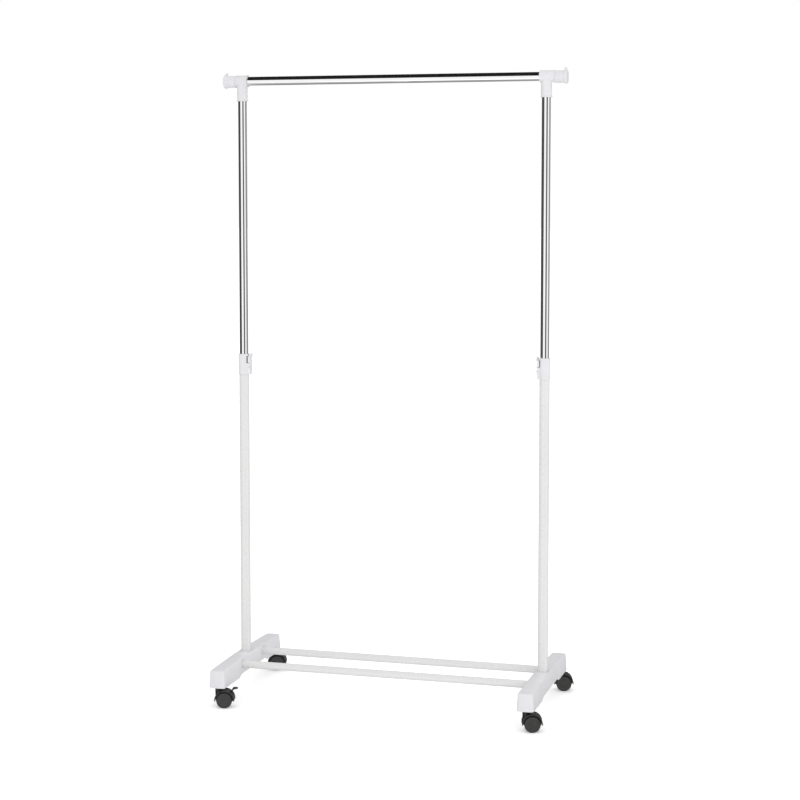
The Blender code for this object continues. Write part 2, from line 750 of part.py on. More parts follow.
def brake_pedal():
    """The pedal: a hub on its pin, a neck out of the hood's slot, and a flat rounded paddle."""
    x, z = WHEEL_TRAIL + PEDAL_PIVOT[0], WHEEL_RADIUS + PEDAL_PIVOT[1]
    neck = prism(
        [
            (x - 2.6 * MM, z - 2.4 * MM),
            (x + 2.6 * MM, z - 2.4 * MM),
            (x + 4.5 * MM, z + 8.5 * MM),
            (x + 12 * MM, z + 12.1 * MM),
            (x + 12 * MM, z + 15.1 * MM),
            (x + 3.5 * MM, z + 13 * MM),
            (x - 2.6 * MM, z + 3 * MM),
        ],
        PEDAL_SLOT_HALF_WIDTH - 2 * GAP,
    )
    paddle = placed(rod(7 * MM, z + 12.1 * MM, z + 15.7 * MM, 20), shift(x + 10.5 * MM))
    return carved(neck, ("UNION", paddle), ("DIFFERENCE", pedal_pin_hole()))


# ---------------------------------------------------------------- assembly


for old in list(bpy.data.objects):
    bpy.data.objects.remove(old, do_unlink=True)

powder_white = material("powder_white", (0.80, 0.80, 0.79), 0.35)
white_plastic = material("white_plastic", (0.76, 0.755, 0.78), 0.42)
chrome = material("chrome", (0.80, 0.80, 0.81), 0.06, 1.0)
zinc_steel = material("zinc_steel", (0.55, 0.55, 0.56), 0.30, 1.0)
black_plastic = material("black_plastic", (0.018, 0.018, 0.019), 0.42)
wheel_grey = material("wheel_grey", (0.060, 0.060, 0.058), 0.50)
nylon = material("nylon", (0.70, 0.69, 0.66), 0.50)
grip_rubber = material("grip_rubber", (0.05, 0.05, 0.05), 0.80)

upper_frame = part(
    "hanging_rail",
    placed(tube(MAST_RADIUS, MAST_BORE, -RAIL_HALF_LENGTH, RAIL_HALF_LENGTH), ALONG_X, shift(0, 0, RAIL_Z)),
    chrome,
    (0, 0, RAIL_Z),
)

for end_name, end in END_SIGNS.items():
    part(f"crossbar_{end_name}", crossbar(end), powder_white, (0, end * BAR_Y, BAR_Z))

for side_name, side in SIDE_SIGNS.items():
    axis = (side * UPRIGHT_X, 0, 0)
    sideways = shift(side * UPRIGHT_X)

    part(f"leg_{side_name}", leg(side), white_plastic, axis)
    for end_name, end in END_SIGNS.items():
        at_end = shift(side * SCREW_X, end * BAR_Y)
        bar_screw = screw(SCREW_HEAD_RADIUS, SCREW_RADIUS, 2.5 * MM, SCREW_TIP)
        part(f"crossbar_screw_{end_name}_{side_name}", placed(bar_screw, at_end), zinc_steel)
    drop = COLLAR_DROP[side_name]
    part(f"post_{side_name}", post(side, drop), powder_white, axis)
    part(f"post_plug_{side_name}", placed(post_plug(), sideways), nylon, axis)
    post_bolt = screw(BOLT_HEAD_RADIUS, BOLT_RADIUS, 5.7 * MM, BOLT_TIP)
    part(f"post_bolt_{side_name}", placed(post_bolt, sideways), zinc_steel, axis)
    part(f"collar_{side_name}", collar(side, drop), white_plastic, axis)

    pivot = (side * (UPRIGHT_X - LEVER_PIN_OUT), 0, LEVER_PIN_Z - drop)
    lever = part(f"lock_lever_{side_name}", lock_lever(side, drop), white_plastic, pivot)
    pin_half = CHEEK_OUTER - 0.2 * MM
    pin = placed(rod(LEVER_PIN_RADIUS, -pin_half, pin_half, FINE_SIDES), ALONG_Y, shift(*pivot))
    part(f"lever_pin_{side_name}", pin, zinc_steel, pivot)
    lever_spring(f"lever_spring_{side_name}", side, pivot, zinc_steel, lever)
    shoe = box(
        (MAST_RADIUS + 0.35 * MM, -SHOE_HALF_WIDTH, SHOE_BOTTOM),
        (LEVER_INNER - GAP, SHOE_HALF_WIDTH, SHOE_TOP),
    )
    shoe = placed(shoe, outward(-side), shift(side * UPRIGHT_X, 0, -drop))
    part(f"grip_shoe_{side_name}", shoe, grip_rubber, pivot, lever)

    mast = tube(MAST_RADIUS, MAST_BORE, MAST_BOTTOM, MAST_TOP)
    part(f"mast_{side_name}", placed(mast, sideways), chrome, axis, upper_frame)
    part(f"mast_foot_{side_name}", placed(mast_foot(), sideways), nylon, axis, upper_frame)
    longer = END_LONGER[side_name]
    part(f"tee_{side_name}", tee(side, longer), white_plastic, (side * UPRIGHT_X, 0, RAIL_Z), upper_frame)

    rail_end = (side * RAIL_HALF_LENGTH, 0, RAIL_Z)
    sliding_rod = part(f"pull_rod_{side_name}", pull_rod(side, longer), chrome, rail_end, upper_frame)
    part(f"rod_bush_{side_name}", rod_bush(side, longer), nylon, rail_end, sliding_rod)
    part(f"end_cap_{side_name}", end_cap(side, longer), white_plastic, rail_end, sliding_rod)

swivel = Matrix.Rotation(CASTOR_TURN, 4, "Z")
stem_mesh = mesh_from(castor_stem(), "castor_stem")
stem_mesh.materials.append(zinc_steel)
hood_mesh = mesh_from(placed(castor_hood(False), swivel), "castor_hood")
hood_mesh.materials.append(black_plastic)
braked_hood_mesh = mesh_from(placed(castor_hood(True), swivel), "castor_hood_braked")
braked_hood_mesh.materials.append(black_plastic)

wheel_centre = swivel @ Vector((WHEEL_TRAIL, 0, WHEEL_RADIUS))
pedal_centre = swivel @ Vector((WHEEL_TRAIL + PEDAL_PIVOT[0], 0, WHEEL_RADIUS + PEDAL_PIVOT[1]))
for end_name, end in END_SIGNS.items():
    for side_name, side in SIDE_SIGNS.items():
        name = f"castor_{end_name}_{side_name}"
        corner = Vector((side * UPRIGHT_X, end * CASTOR_Y, 0))
        braked = name == "castor_front_left"
        part(f"{name}_stem", stem_mesh, zinc_steel, corner)
        hood = part(f"{name}_hood", braked_hood_mesh if braked else hood_mesh, black_plastic, corner)
        axle = at_wheel(rod(AXLE_RADIUS, -AXLE_HALF_LENGTH, AXLE_HALF_LENGTH, FINE_SIDES))
        part(f"{name}_axle", placed(axle, swivel, shift(*corner)), zinc_steel, corner + wheel_centre, hood)
        for wheel_name, facing in (("near", -1), ("far", 1)):
            wheel = placed(castor_wheel(facing), swivel, shift(*corner))
            part(f"{name}_wheel_{wheel_name}", wheel, wheel_grey, corner + wheel_centre, hood)
        if braked:
            pivot = corner + pedal_centre
            pedal = placed(brake_pedal(), swivel, shift(*corner))
            part("brake_pedal", pedal, black_plastic, pivot, hood)
            pin = rod(PEDAL_PIN_RADIUS, -5.2 * MM, 5.2 * MM, FINE_SIDES)
            part("brake_pin", placed(pin, ALONG_Y, swivel, shift(*pivot)), zinc_steel, pivot, hood)
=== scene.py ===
import math

import bmesh
import bpy
from mathutils import Matrix, Vector


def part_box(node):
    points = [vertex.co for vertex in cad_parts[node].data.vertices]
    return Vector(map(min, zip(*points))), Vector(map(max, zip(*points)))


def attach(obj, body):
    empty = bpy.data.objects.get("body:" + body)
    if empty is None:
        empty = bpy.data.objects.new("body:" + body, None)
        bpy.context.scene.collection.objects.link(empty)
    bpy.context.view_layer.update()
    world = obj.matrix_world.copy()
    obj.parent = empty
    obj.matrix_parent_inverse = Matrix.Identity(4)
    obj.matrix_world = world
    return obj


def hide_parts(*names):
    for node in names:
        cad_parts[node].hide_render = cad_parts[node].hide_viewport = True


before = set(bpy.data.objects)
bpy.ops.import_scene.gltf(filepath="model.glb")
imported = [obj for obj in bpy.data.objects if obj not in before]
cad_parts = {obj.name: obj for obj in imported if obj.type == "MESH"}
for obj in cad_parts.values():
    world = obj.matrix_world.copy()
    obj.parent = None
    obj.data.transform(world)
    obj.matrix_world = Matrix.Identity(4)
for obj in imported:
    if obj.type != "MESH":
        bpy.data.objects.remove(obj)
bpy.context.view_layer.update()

# A rolling garment rack in white and chrome, on four small black castors.
# The sections follow the rack as it is put together, from the feet up to the rail, then the castors.
# Everything is in metres: +X along the rail, +Y to the back, +Z up.

MM = 0.001


# ---------------------------------------------------------------- Camera
# A long lens, a little to the right of the rack and above its middle, looking slightly down.
# The lens is shifted down, which keeps the uprights nearly parallel.

camera_data = bpy.data.cameras.new("camera")
camera_data.lens = 85.33
camera_data.sensor_width = 36.0
camera_data.shift_y = -0.065
camera = bpy.data.objects.new("camera", camera_data)
bpy.context.scene.collection.objects.link(camera)
camera.location = (1.3445, -4.6409, 1.3165)
looking_at = Vector((0.0238, 0.0, 0.9126))
camera.rotation_mode = "QUATERNION"
camera.rotation_quaternion = (looking_at - camera.location).to_track_quat("-Z", "Y")
bpy.context.scene.camera = camera
bpy.context.scene.view_settings.view_transform = "Standard"


# ---------------------------------------------------------------- Studio
# A pale floor in a white tent that lights the rack evenly from all round and above. The tent has dark
# gaps, which bright plating shows as dark lines. One soft lamp stands in front, a little to the right.

FLOOR_LIFT = 0.22  # how much the floor is brightened for the eye, up to the white of the tent

floor_shape = bmesh.new()
bmesh.ops.create_circle(floor_shape, cap_ends=True, segments=96, radius=60.0)
floor_mesh = bpy.data.meshes.new("floor")
floor_shape.to_mesh(floor_mesh)
floor_shape.free()
floor = bpy.data.objects.new("floor", floor_mesh)
bpy.context.scene.collection.objects.link(floor)
floor.location = (0, 0, -0.2 * MM)
floor.visible_glossy = False
floor_paint = bpy.data.materials.new("floor_paint")
floor_paint.use_nodes = True
floor_tree = floor_paint.node_tree
floor_shader = floor_tree.nodes["Principled BSDF"]
floor_shader.inputs["Base Color"].default_value = (0.94, 0.94, 0.94, 1)
floor_shader.inputs["Roughness"].default_value = 0.9
floor_shader.inputs["Specular IOR Level"].default_value = 0.0
floor_shader.inputs["Emission Color"].default_value = (1, 1, 1, 1)
seen = floor_tree.nodes.new("ShaderNodeMath")
seen.operation = "MULTIPLY"
seen.inputs[1].default_value = FLOOR_LIFT
floor_tree.links.new(floor_tree.nodes.new("ShaderNodeLightPath").outputs["Is Camera Ray"], seen.inputs[0])
floor_tree.links.new(seen.outputs[0], floor_shader.inputs["Emission Strength"])
floor_mesh.materials.append(floor_paint)

# World angles, in turns from -X through -Y, +X and +Y, and how bright the tent is from there on.
TENT_WALL = [
    (0.000, 0.05),
    (0.135, 0.06),
    (0.150, 1.05),
    (0.288, 1.05),
    (0.300, 0.10),
    (0.388, 0.10),
    (0.402, 1.05),
    (0.500, 1.05),
    (0.520, 0.30),
    (0.790, 0.30),
    (0.810, 0.05),
]
# Brightness by (z + 1) / 2, with z from -1 straight down to 1 straight up.
TENT_HEIGHT = [(0.0, 1.0), (0.64, 1.0), (0.67, 0.0)]
# The floor's own pale share of a reflection, by the same measure.
TENT_UNDER = [(0.0, 0.12), (0.035, 0.38), (0.08, 0.38), (0.15, 0.012)]
TENT_GLOW = [(0.0, 0.85), (0.45, 0.94), (0.62, 0.97), (1.0, 1.12)]

world = bpy.data.worlds.new("studio")
bpy.context.scene.world = world
world.use_nodes = True
tent = world.node_tree
tent.nodes.clear()


def tent_node(kind, **settings):
    node = tent.nodes.new(kind)
    for name, value in settings.items():
        setattr(node, name, value)
    return node


def tent_math(operation, first, second=None):
    node = tent_node("ShaderNodeMath", operation=operation)
    for socket, value in zip(node.inputs, (first, second)):
        if isinstance(value, (int, float)):
            socket.default_value = value
        elif value is not None:
            tent.links.new(value, socket)
    return node.outputs[0]


def tent_ramp(value, stops):
    ramp = tent_node("ShaderNodeValToRGB")
    marks = ramp.color_ramp.elements
    marks[0].position, marks[1].position = stops[0][0], stops[-1][0]
    marks[0].color = (stops[0][1],) * 3 + (1,)
    marks[1].color = (stops[-1][1],) * 3 + (1,)
    for position, bright in stops[1:-1]:
        marks.new(position).color = (bright, bright, bright, 1)
    tent.links.new(value, ramp.inputs[0])
    return ramp.outputs[0]


def tent_light(colour):
    background = tent_node("ShaderNodeBackground")
    tent.links.new(colour, background.inputs["Color"])
    return background.outputs[0]


def tent_choice(which, usual, chosen):
    mix = tent_node("ShaderNodeMixShader")
    for value, socket in zip((which, usual, chosen), mix.inputs):
        tent.links.new(value, socket)
    return mix.outputs[0]


direction = tent_node("ShaderNodeSeparateXYZ")
tent.links.new(tent_node("ShaderNodeTexCoord").outputs["Generated"], direction.inputs[0])
angle = tent_math("ARCTAN2", direction.outputs["Y"], direction.outputs["X"])
turn = tent_math("ADD", tent_math("DIVIDE", angle, math.tau), 0.5)
height = tent_math("ADD", tent_math("MULTIPLY", direction.outputs["Z"], 0.5), 0.5)
wall = tent_ramp(turn, TENT_WALL)
walls = tent_math("MULTIPLY", wall, tent_ramp(height, TENT_HEIGHT))
mirrored = tent_light(tent_math("ADD", walls, tent_ramp(height, TENT_UNDER)))
glow = tent_light(tent_ramp(height, TENT_GLOW))
plain_white = tent_node("ShaderNodeBackground")
plain_white.inputs["Color"].default_value = (1.0, 1.0, 1.0, 1)

ray = tent_node("ShaderNodeLightPath")
seen_or_soft = tent_choice(ray.outputs["Is Camera Ray"], glow, plain_white.outputs[0])
studio = tent_choice(ray.outputs["Is Glossy Ray"], seen_or_soft, mirrored)
tent.links.new(studio, tent_node("ShaderNodeOutputWorld").inputs[0])


def soft_lamp(name, place, target, size, power):
    lamp = bpy.data.lights.new(name, "AREA")
    lamp.shape = "RECTANGLE"
    lamp.size, lamp.size_y = size
    lamp.energy = power
    holder = bpy.data.objects.new(name, lamp)
    bpy.context.scene.collection.objects.link(holder)
    holder.location = place
    holder.rotation_mode = "QUATERNION"
    holder.rotation_quaternion = (Vector(target) - Vector(place)).to_track_quat("-Z", "Y")
    holder.visible_glossy = False
    return holder


soft_lamp("front_lamp", (3.0, -4.2, 2.0), (0, 0, 0.8), (2.4, 2.4), 34.0)


# ---------------------------------------------------------------- Feet
# Two long moulded feet in slightly cool white plastic, hollow underneath, wider at the bottom and a
# little arched on top. Each takes a post from above, the bottom bars at its side, a castor stem at each end.


def new_object(name, shape, finish):
    """A finished mesh, smooth except where its faces meet at a real edge."""
    bmesh.ops.remove_doubles(shape, verts=shape.verts, dist=0.002 * MM)
    bmesh.ops.recalc_face_normals(shape, faces=shape.faces)
    mesh = bpy.data.meshes.new(name)
    shape.to_mesh(mesh)
    shape.free()
    mesh.shade_smooth()
    mesh.set_sharp_from_angle(angle=math.radians(32))
    mesh.materials.append(finish)
    thing = bpy.data.objects.new(name, mesh)
    bpy.context.scene.collection.objects.link(thing)
    return thing


def fit(name, shape, finish, body, slot, *nodes):
    """Puts a piece on the rack, in the place of the CAD nodes that it stands for."""
    piece = new_object(name, shape, finish)
    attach(piece, body)
    if nodes:
        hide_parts(*nodes)
    return piece


def middle(node):
    low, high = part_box(node)
    return (low + high) / 2


def moved(shape, matrix):
    bmesh.ops.transform(shape, matrix=matrix, verts=shape.verts)
    bmesh.ops.recalc_face_normals(shape, faces=shape.faces)
    return shape


def at(x=0.0, y=0.0, z=0.0):
    return Matrix.Translation((x, y, z))


ALONG_X = Matrix.Rotation(math.pi / 2, 4, "Y")
ALONG_Y = Matrix.Rotation(-math.pi / 2, 4, "X")


def turned(profile, sides=64):
    """Turned about Z from (radius, height) points: from axis to axis, or a closed loop for a tube."""
    shape = bmesh.new()
    points = [shape.verts.new((radius, 0, height)) for radius, height in profile]
    edges = [shape.edges.new(pair) for pair in zip(points, points[1:])]
    if profile[0][0] > 0:
        edges.append(shape.edges.new((points[-1], points[0])))
    bmesh.ops.spin(
        shape,
        geom=points + edges,
        cent=(0, 0, 0),
        axis=(0, 0, 1),
        angle=math.tau,
        steps=sides,
        use_merge=True,
    )
    bmesh.ops.remove_doubles(shape, verts=shape.verts, dist=0.001 * MM)
    bmesh.ops.recalc_face_normals(shape, faces=shape.faces)
    return shape


def carved(base, *steps, solver="EXACT"):
    """Joins shapes to base, or cuts them out of it, one after another."""
    workpiece = new_object("workpiece", base, None)
    tools = []
    for operation, shape in steps:
        tool = new_object("tool", shape, None)
        tools.append(tool)
        step = workpiece.modifiers.new(operation, "BOOLEAN")
        step.operation, step.object, step.solver = operation, tool, solver
    done = workpiece.evaluated_get(bpy.context.evaluated_depsgraph_get()).to_mesh()
    shape = bmesh.new()
    shape.from_mesh(done)
    for thing in (workpiece, *tools):
        bpy.data.objects.remove(thing)
    bmesh.ops.remove_doubles(shape, verts=shape.verts, dist=0.01 * MM)
    return shape


def eased(shape, width, segments=3, sharper_than=32, where=None):
    """Rounds the real edges of a shape by a small radius."""
    limit = math.radians(sharper_than)
    edges = [
        edge
        for edge in shape.edges
        if len(edge.link_faces) == 2
        and edge.calc_face_angle(0) > limit
        and (where is None or where(edge))
    ]
    bmesh.ops.bevel(
        shape,
        geom=edges,
        offset=width,
        offset_type="OFFSET",
        affect="EDGES",
        segments=segments,
        profile=0.5,
        material=-1,
        clamp_overlap=True,
    )
    return shape


def block(low, high):
    shape = bmesh.new()
    bmesh.ops.create_cube(shape, size=1.0)
    low, high = Vector(low), Vector(high)
    bmesh.ops.scale(shape, vec=high - low, verts=shape.verts)
    bmesh.ops.translate(shape, vec=(low + high) / 2, verts=shape.verts)
    return shape


def new_finish(name, colour, roughness, metallic=0.0):
    """An empty finish and the sockets that its section needs: (finish, tree, shader, place)."""
    finish = bpy.data.materials.new(name)
    finish.use_nodes = True
    tree = finish.node_tree
    shader = tree.nodes["Principled BSDF"]
    shader.inputs["Base Color"].default_value = (*colour, 1)
    shader.inputs["Roughness"].default_value = roughness
    shader.inputs["Metallic"].default_value = metallic
    place = tree.nodes.new("ShaderNodeTexCoord").outputs["Object"]
    return finish, tree, shader, place


def clouds(tree, place, scale, detail=2.0, stretch=(1, 1, 1)):
    """Soft noise, scale in spots per metre, drawn out along an axis by a small stretch there."""
    spread_out = tree.nodes.new("ShaderNodeMapping")
    spread_out.inputs["Scale"].default_value = stretch
    tree.links.new(place, spread_out.inputs["Vector"])
    noise = tree.nodes.new("ShaderNodeTexNoise")
    noise.inputs["Scale"].default_value = scale
    noise.inputs["Detail"].default_value = detail
    tree.links.new(spread_out.outputs[0], noise.inputs["Vector"])
    return noise.outputs[0]


def ranged(tree, value, low, high, start=0.3, end=0.7):
    """Takes values from start to end to values from low to high."""
    node = tree.nodes.new("ShaderNodeMapRange")
    tree.links.new(value, node.inputs["Value"])
    for socket, number in zip(("From Min", "From Max", "To Min", "To Max"), (start, end, low, high)):
        node.inputs[socket].default_value = number
    return node.outputs[0]


def tinted(tree, value, first, second):
    """A colour that goes from first to second with the value."""
    node = tree.nodes.new("ShaderNodeMix")
    node.data_type = "RGBA"
    tree.links.new(value, node.inputs[0])
    for socket, colour in ((6, first), (7, second)):
        if isinstance(colour, tuple):
            node.inputs[socket].default_value = (*colour, 1)
        else:
            tree.links.new(colour, node.inputs[socket])
    return node.outputs[2]


def highlighted_edges_of(tree, start=0.53, end=0.62):
    """1 along the outer edges of a piece, where a lighter colour is painted on as a highlight, and 0 on its
    faces.
    """
    return ranged(tree, tree.nodes.new("ShaderNodeNewGeometry").outputs["Pointiness"], 0, 1, start, end)


def relief(tree, shader, *layers):
    """Fine relief from (height, depth in metres) layers, one on another."""
    under = None
    for height_value, depth in layers:
        bump = tree.nodes.new("ShaderNodeBump")
        bump.inputs["Strength"].default_value = 1.0
        bump.inputs["Distance"].default_value = depth
        tree.links.new(height_value, bump.inputs["Height"])
        if under:
            tree.links.new(under, bump.inputs["Normal"])
        under = bump.outputs[0]
    tree.links.new(under, shader.inputs["Normal"])


PLASTIC_WHITE = (0.745, 0.743, 0.765)
PLASTIC_SHADE = (0.715, 0.712, 0.738)
# The lighter colour of the outer edges: a painted highlight.
PLASTIC_EDGE_HIGHLIGHT = (0.79, 0.79, 0.80)

white_plastic, tree, shader, place = new_finish("white_plastic", PLASTIC_WHITE, 0.42)
flow = ranged(tree, clouds(tree, place, 14, 3), 0, 1)
body_colour = tinted(tree, flow, PLASTIC_SHADE, PLASTIC_WHITE)
# The outer edges take the lighter colour, a painted highlight.
tree.links.new(tinted(tree, highlighted_edges_of(tree), body_colour, PLASTIC_EDGE_HIGHLIGHT), shader.inputs["Base Color"])
tree.links.new(ranged(tree, clouds(tree, place, 260, 3), 0.36, 0.50), shader.inputs["Roughness"])
shader.inputs["IOR"].default_value = 1.49
shader.inputs["Subsurface Weight"].default_value = 0.06
shader.inputs["Subsurface Radius"].default_value = (0.9, 0.8, 0.8)
shader.inputs["Subsurface Scale"].default_value = 0.9 * MM
relief(
    tree,
    shader,
    (clouds(tree, place, 2600, 2), 0.003 * MM),
    (clouds(tree, place, 60, 2), 0.02 * MM),
)

FOOT_CORNER = 6 * MM
FOOT_BOW = 3.4 * MM  # how far the middle of an end stands out
FOOT_BOW_ROUND = 10 * MM
FOOT_DRAFT = 2.6 * MM  # narrower on each side at the top
FOOT_TOP_ROUND = 2.8 * MM
FOOT_RIM_ROUND = 0.5 * MM
FOOT_CROWN = 4.3 * MM  # the top is higher at the post
FOOT_STEP = 7.5 * MM  # the underside is higher between the castors
FOOT_STEP_RUN = (90 * MM, 105 * MM)
FOOT_WALL = 2.8 * MM
FOOT_POCKETS = ((19 * MM, 62 * MM), (91 * MM, 186 * MM))  # along Y, the same to both ends
SOCKET_GAP = 0.35 * MM
SOCKET_FLOOR_GAP = 0.3 * MM
SOCKET_MOUTH_DROP = 0.15 * MM
POST_LEAD = 1.3 * MM  # the chamfer round the post's socket
BAR_MOUTH_INSET = 1.9 * MM  # from the foot's widest line
WAY_UNDER_POST = 0.6 * MM  # the ways for bolt and screws end this far below the post
CUT_PAST = 5 * MM  # how far a cutter starts outside what it cuts
BOLT_WAY = 6.5 * MM
SCREW_WAY = 4.2 * MM
STEM_WAY = 3.8 * MM


def foot_shape(side_name):
    low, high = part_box(f"leg_{side_name}")
    centre = (low + high) / 2
    half_width, half_length = (high.x - low.x) / 2, (high.y - low.y) / 2
    bottom, top = low.z, high.z - FOOT_CROWN
    shape = bmesh.new()
    end_y = half_length - FOOT_BOW
    plan = [(half_width, -end_y), (half_width, end_y), (0, half_length)]
    plan += [(-half_width, end_y), (-half_width, -end_y), (0, -half_length)]
    base = shape.faces.new([shape.verts.new((x, y, bottom)) for x, y in plan])
    drawn = bmesh.ops.extrude_face_region(shape, geom=[base])["geom"]
    upper = [item for item in drawn if isinstance(item, bmesh.types.BMVert)]
    bmesh.ops.translate(shape, vec=(0, 0, top - bottom), verts=upper)
    narrower = 1 - FOOT_DRAFT / half_width
    shorter = 1 - 0.4 * FOOT_DRAFT / half_length
    bmesh.ops.scale(shape, vec=(narrower, shorter, 1), verts=upper)
    bmesh.ops.recalc_face_normals(shape, faces=shape.faces)

    upright = [edge for edge in shape.edges if abs(edge.verts[0].co.z - edge.verts[1].co.z) > MM]
    corners = [edge for edge in upright if abs(edge.verts[0].co.x) > MM]
    bows = [edge for edge in upright if abs(edge.verts[0].co.x) < MM]
    for edges, width, segments in ((corners, FOOT_CORNER, 7), (bows, FOOT_BOW_ROUND, 8)):
        bmesh.ops.bevel(
            shape,
            geom=edges,
            offset=width,
            offset_type="OFFSET",
            affect="EDGES",
            segments=segments,
            profile=0.5,
            material=-1,
        )
    rim = [edge for edge in shape.edges if all(abs(vert.co.z - top) < 0.01 * MM for vert in edge.verts)]
    bmesh.ops.bevel(
        shape,
        geom=rim,
        offset=FOOT_TOP_ROUND,
        offset_type="OFFSET",
        affect="EDGES",
        segments=5,
        profile=0.5,
        material=-1,
    )
    foot_rim = [edge for edge in shape.edges if all(abs(v.co.z - bottom) < 0.01 * MM for v in edge.verts)]
    bmesh.ops.bevel(
        shape,
        geom=foot_rim,
        offset=FOOT_RIM_ROUND,
        offset_type="OFFSET",
        affect="EDGES",
        segments=2,
        profile=0.5,
        material=-1,
    )

    cuts = {*FOOT_STEP_RUN, *(y for run in FOOT_POCKETS for y in run)}
    cuts |= {half_length * 0.9 * step / 12 for step in range(13)}
    for y in sorted(cuts | {-y for y in cuts}):
        bmesh.ops.bisect_plane(
            shape,
            geom=shape.verts[:] + shape.edges[:] + shape.faces[:],
            plane_co=(0, y, 0),
            plane_no=(0, 1, 0),
            dist=0.001 * MM,
        )
    for vert in shape.verts:
        up = (vert.co.z - bottom) / (top - bottom)
        away = abs(vert.co.y)
        step_run = (away - FOOT_STEP_RUN[0]) / (FOOT_STEP_RUN[1] - FOOT_STEP_RUN[0])
        step = FOOT_STEP * (1 - min(max(step_run, 0), 1))
        crown = FOOT_CROWN * (1 - (vert.co.y / half_length) ** 2)
        vert.co.z += up * crown + (1 - up) * step

    for inner, outer in FOOT_POCKETS:
        for end in (-1, 1):
            mouth = [
                face
                for face in shape.faces
                if face.normal.z < -0.7 and inner < face.calc_center_median().y * end < outer
                and face.calc_center_median().z < bottom + FOOT_STEP + MM
                and abs(face.calc_center_median().x) < half_width - 2 * MM
            ]
            bmesh.ops.inset_region(
                shape, faces=mouth, thickness=FOOT_WALL, use_even_offset=True, use_boundary=True
            )
            drawn = bmesh.ops.extrude_face_region(shape, geom=mouth)["geom"]
            bmesh.ops.delete(shape, geom=mouth, context="FACES")
            for vert in (item for item in drawn if isinstance(item, bmesh.types.BMVert)):
                vert.co.z = top + FOOT_CROWN * (1 - (vert.co.y / half_length) ** 2) - FOOT_WALL
    bmesh.ops.recalc_face_normals(shape, faces=shape.faces)
    return moved(shape, at(centre.x, centre.y, 0))


def socket_cutter(radius, low, high, lead=0.6 * MM):
    """A round socket from low to high, with a small lead-in chamfer at its mouth, which is at high."""
    radius += SOCKET_GAP
    return turned(
        [
            (0, low),
            (radius, low),
            (radius, high - lead),
            (radius + lead, high),
            (radius + lead, high + 12 * MM),
            (0, high + 12 * MM),
        ]
    )


def plain_rod(radius, low, high, sides=48):
    return turned([(0, low), (radius, low), (radius, high), (0, high)], sides)


def round_radius(node, axis):
    low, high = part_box(node)
    return (high - low)[axis] / 2


for side_name, side in (("left", -1), ("right", 1)):
    low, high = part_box(f"leg_{side_name}")
    post_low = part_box(f"post_{side_name}")[0]
    upright_x = middle(f"post_{side_name}").x
    below = low.z - CUT_PAST
    way_top = post_low.z - WAY_UNDER_POST
    post_radius = round_radius(f"post_{side_name}", 1)
    mouth = high.z - SOCKET_MOUTH_DROP
    post_socket = socket_cutter(post_radius, post_low.z - SOCKET_FLOOR_GAP, mouth, POST_LEAD)
    steps = [("DIFFERENCE", moved(post_socket, at(upright_x)))]
    steps.append(("DIFFERENCE", moved(plain_rod(BOLT_WAY, below, way_top, 32), at(upright_x))))
    for end_name in ("front", "back"):
        bar = middle(f"crossbar_{end_name}")
        bar_low, bar_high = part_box(f"crossbar_{end_name}")
        bar_end = bar_high.x if side > 0 else -bar_low.x
        wall_x = abs(upright_x) - round_radius(f"leg_{side_name}", 0) + BAR_MOUTH_INSET
        bar_radius = round_radius(f"crossbar_{end_name}", 1)
        bar_socket = socket_cutter(bar_radius, -bar_end - SOCKET_FLOOR_GAP, -wall_x)
        bar_place = at(0, bar.y, bar.z) @ Matrix.Diagonal((side, 1, 1, 1)) @ ALONG_X.inverted()
        steps.append(("DIFFERENCE", moved(bar_socket, bar_place)))
        screw_at = middle(f"crossbar_screw_{end_name}_{side_name}")
        screw_way = plain_rod(SCREW_WAY, below, way_top, 32)
        steps.append(("DIFFERENCE", moved(screw_way, at(screw_at.x, screw_at.y))))
        stem = middle(f"castor_{end_name}_{side_name}_stem")
        stem_way = plain_rod(STEM_WAY, below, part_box(f"castor_{end_name}_{side_name}_stem")[1].z, 32)
        steps.append(("DIFFERENCE", moved(stem_way, at(stem.x, stem.y))))
    foot = carved(foot_shape(side_name), *steps)
    fit(f"foot_{side_name}", foot, white_plastic, "base", "white_plastic", f"leg_{side_name}")


# ---------------------------------------------------------------- Bottom bars
# Two 19 mm steel tubes in white powder coat, pushed into the feet and held there by a screw from below
# at each end. The coat has a faint orange peel, and is a warmer white than the plastic.

POWDER_WHITE = (0.735, 0.735, 0.730)
POWDER_SHADE = (0.715, 0.716, 0.711)
POWDER_SCUFF = (0.700, 0.700, 0.695)

powder_white, tree, shader, place = new_finish("powder_white", POWDER_WHITE, 0.30)
coat_colour = tinted(tree, ranged(tree, clouds(tree, place, 9, 3), 0, 1), POWDER_SHADE, POWDER_WHITE)
scuffs = ranged(tree, clouds(tree, place, 90, 4, (1, 1, 0.25)), 0, 0.35, 0.70, 0.80)
tree.links.new(tinted(tree, scuffs, coat_colour, POWDER_SCUFF), shader.inputs["Base Color"])
tree.links.new(ranged(tree, clouds(tree, place, 120, 3), 0.24, 0.36), shader.inputs["Roughness"])
shader.inputs["Coat Weight"].default_value = 0.15
shader.inputs["Coat Roughness"].default_value = 0.12
relief(
    tree,
    shader,
    (clouds(tree, place, 620, 1), 0.0035 * MM),
    (clouds(tree, place, 2400, 1), 0.0015 * MM),
)

zinc_steel, tree, shader, place = new_finish("zinc_steel", (0.56, 0.56, 0.57), 0.3, 1.0)
spangle = ranged(tree, clouds(tree, place, 900, 2), 0, 1)
tree.links.new(tinted(tree, spangle, (0.50, 0.51, 0.53), (0.62, 0.61, 0.58)), shader.inputs["Base Color"])
tree.links.new(ranged(tree, clouds(tree, place, 1500, 2), 0.22, 0.42), shader.inputs["Roughness"])
relief(tree, shader, (clouds(tree, place, 3000, 2), 0.006 * MM))


def finish_node(node, finish):
    """Gives a hidden CAD piece its real finish."""
    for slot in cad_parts[node].material_slots:
        slot.material = finish


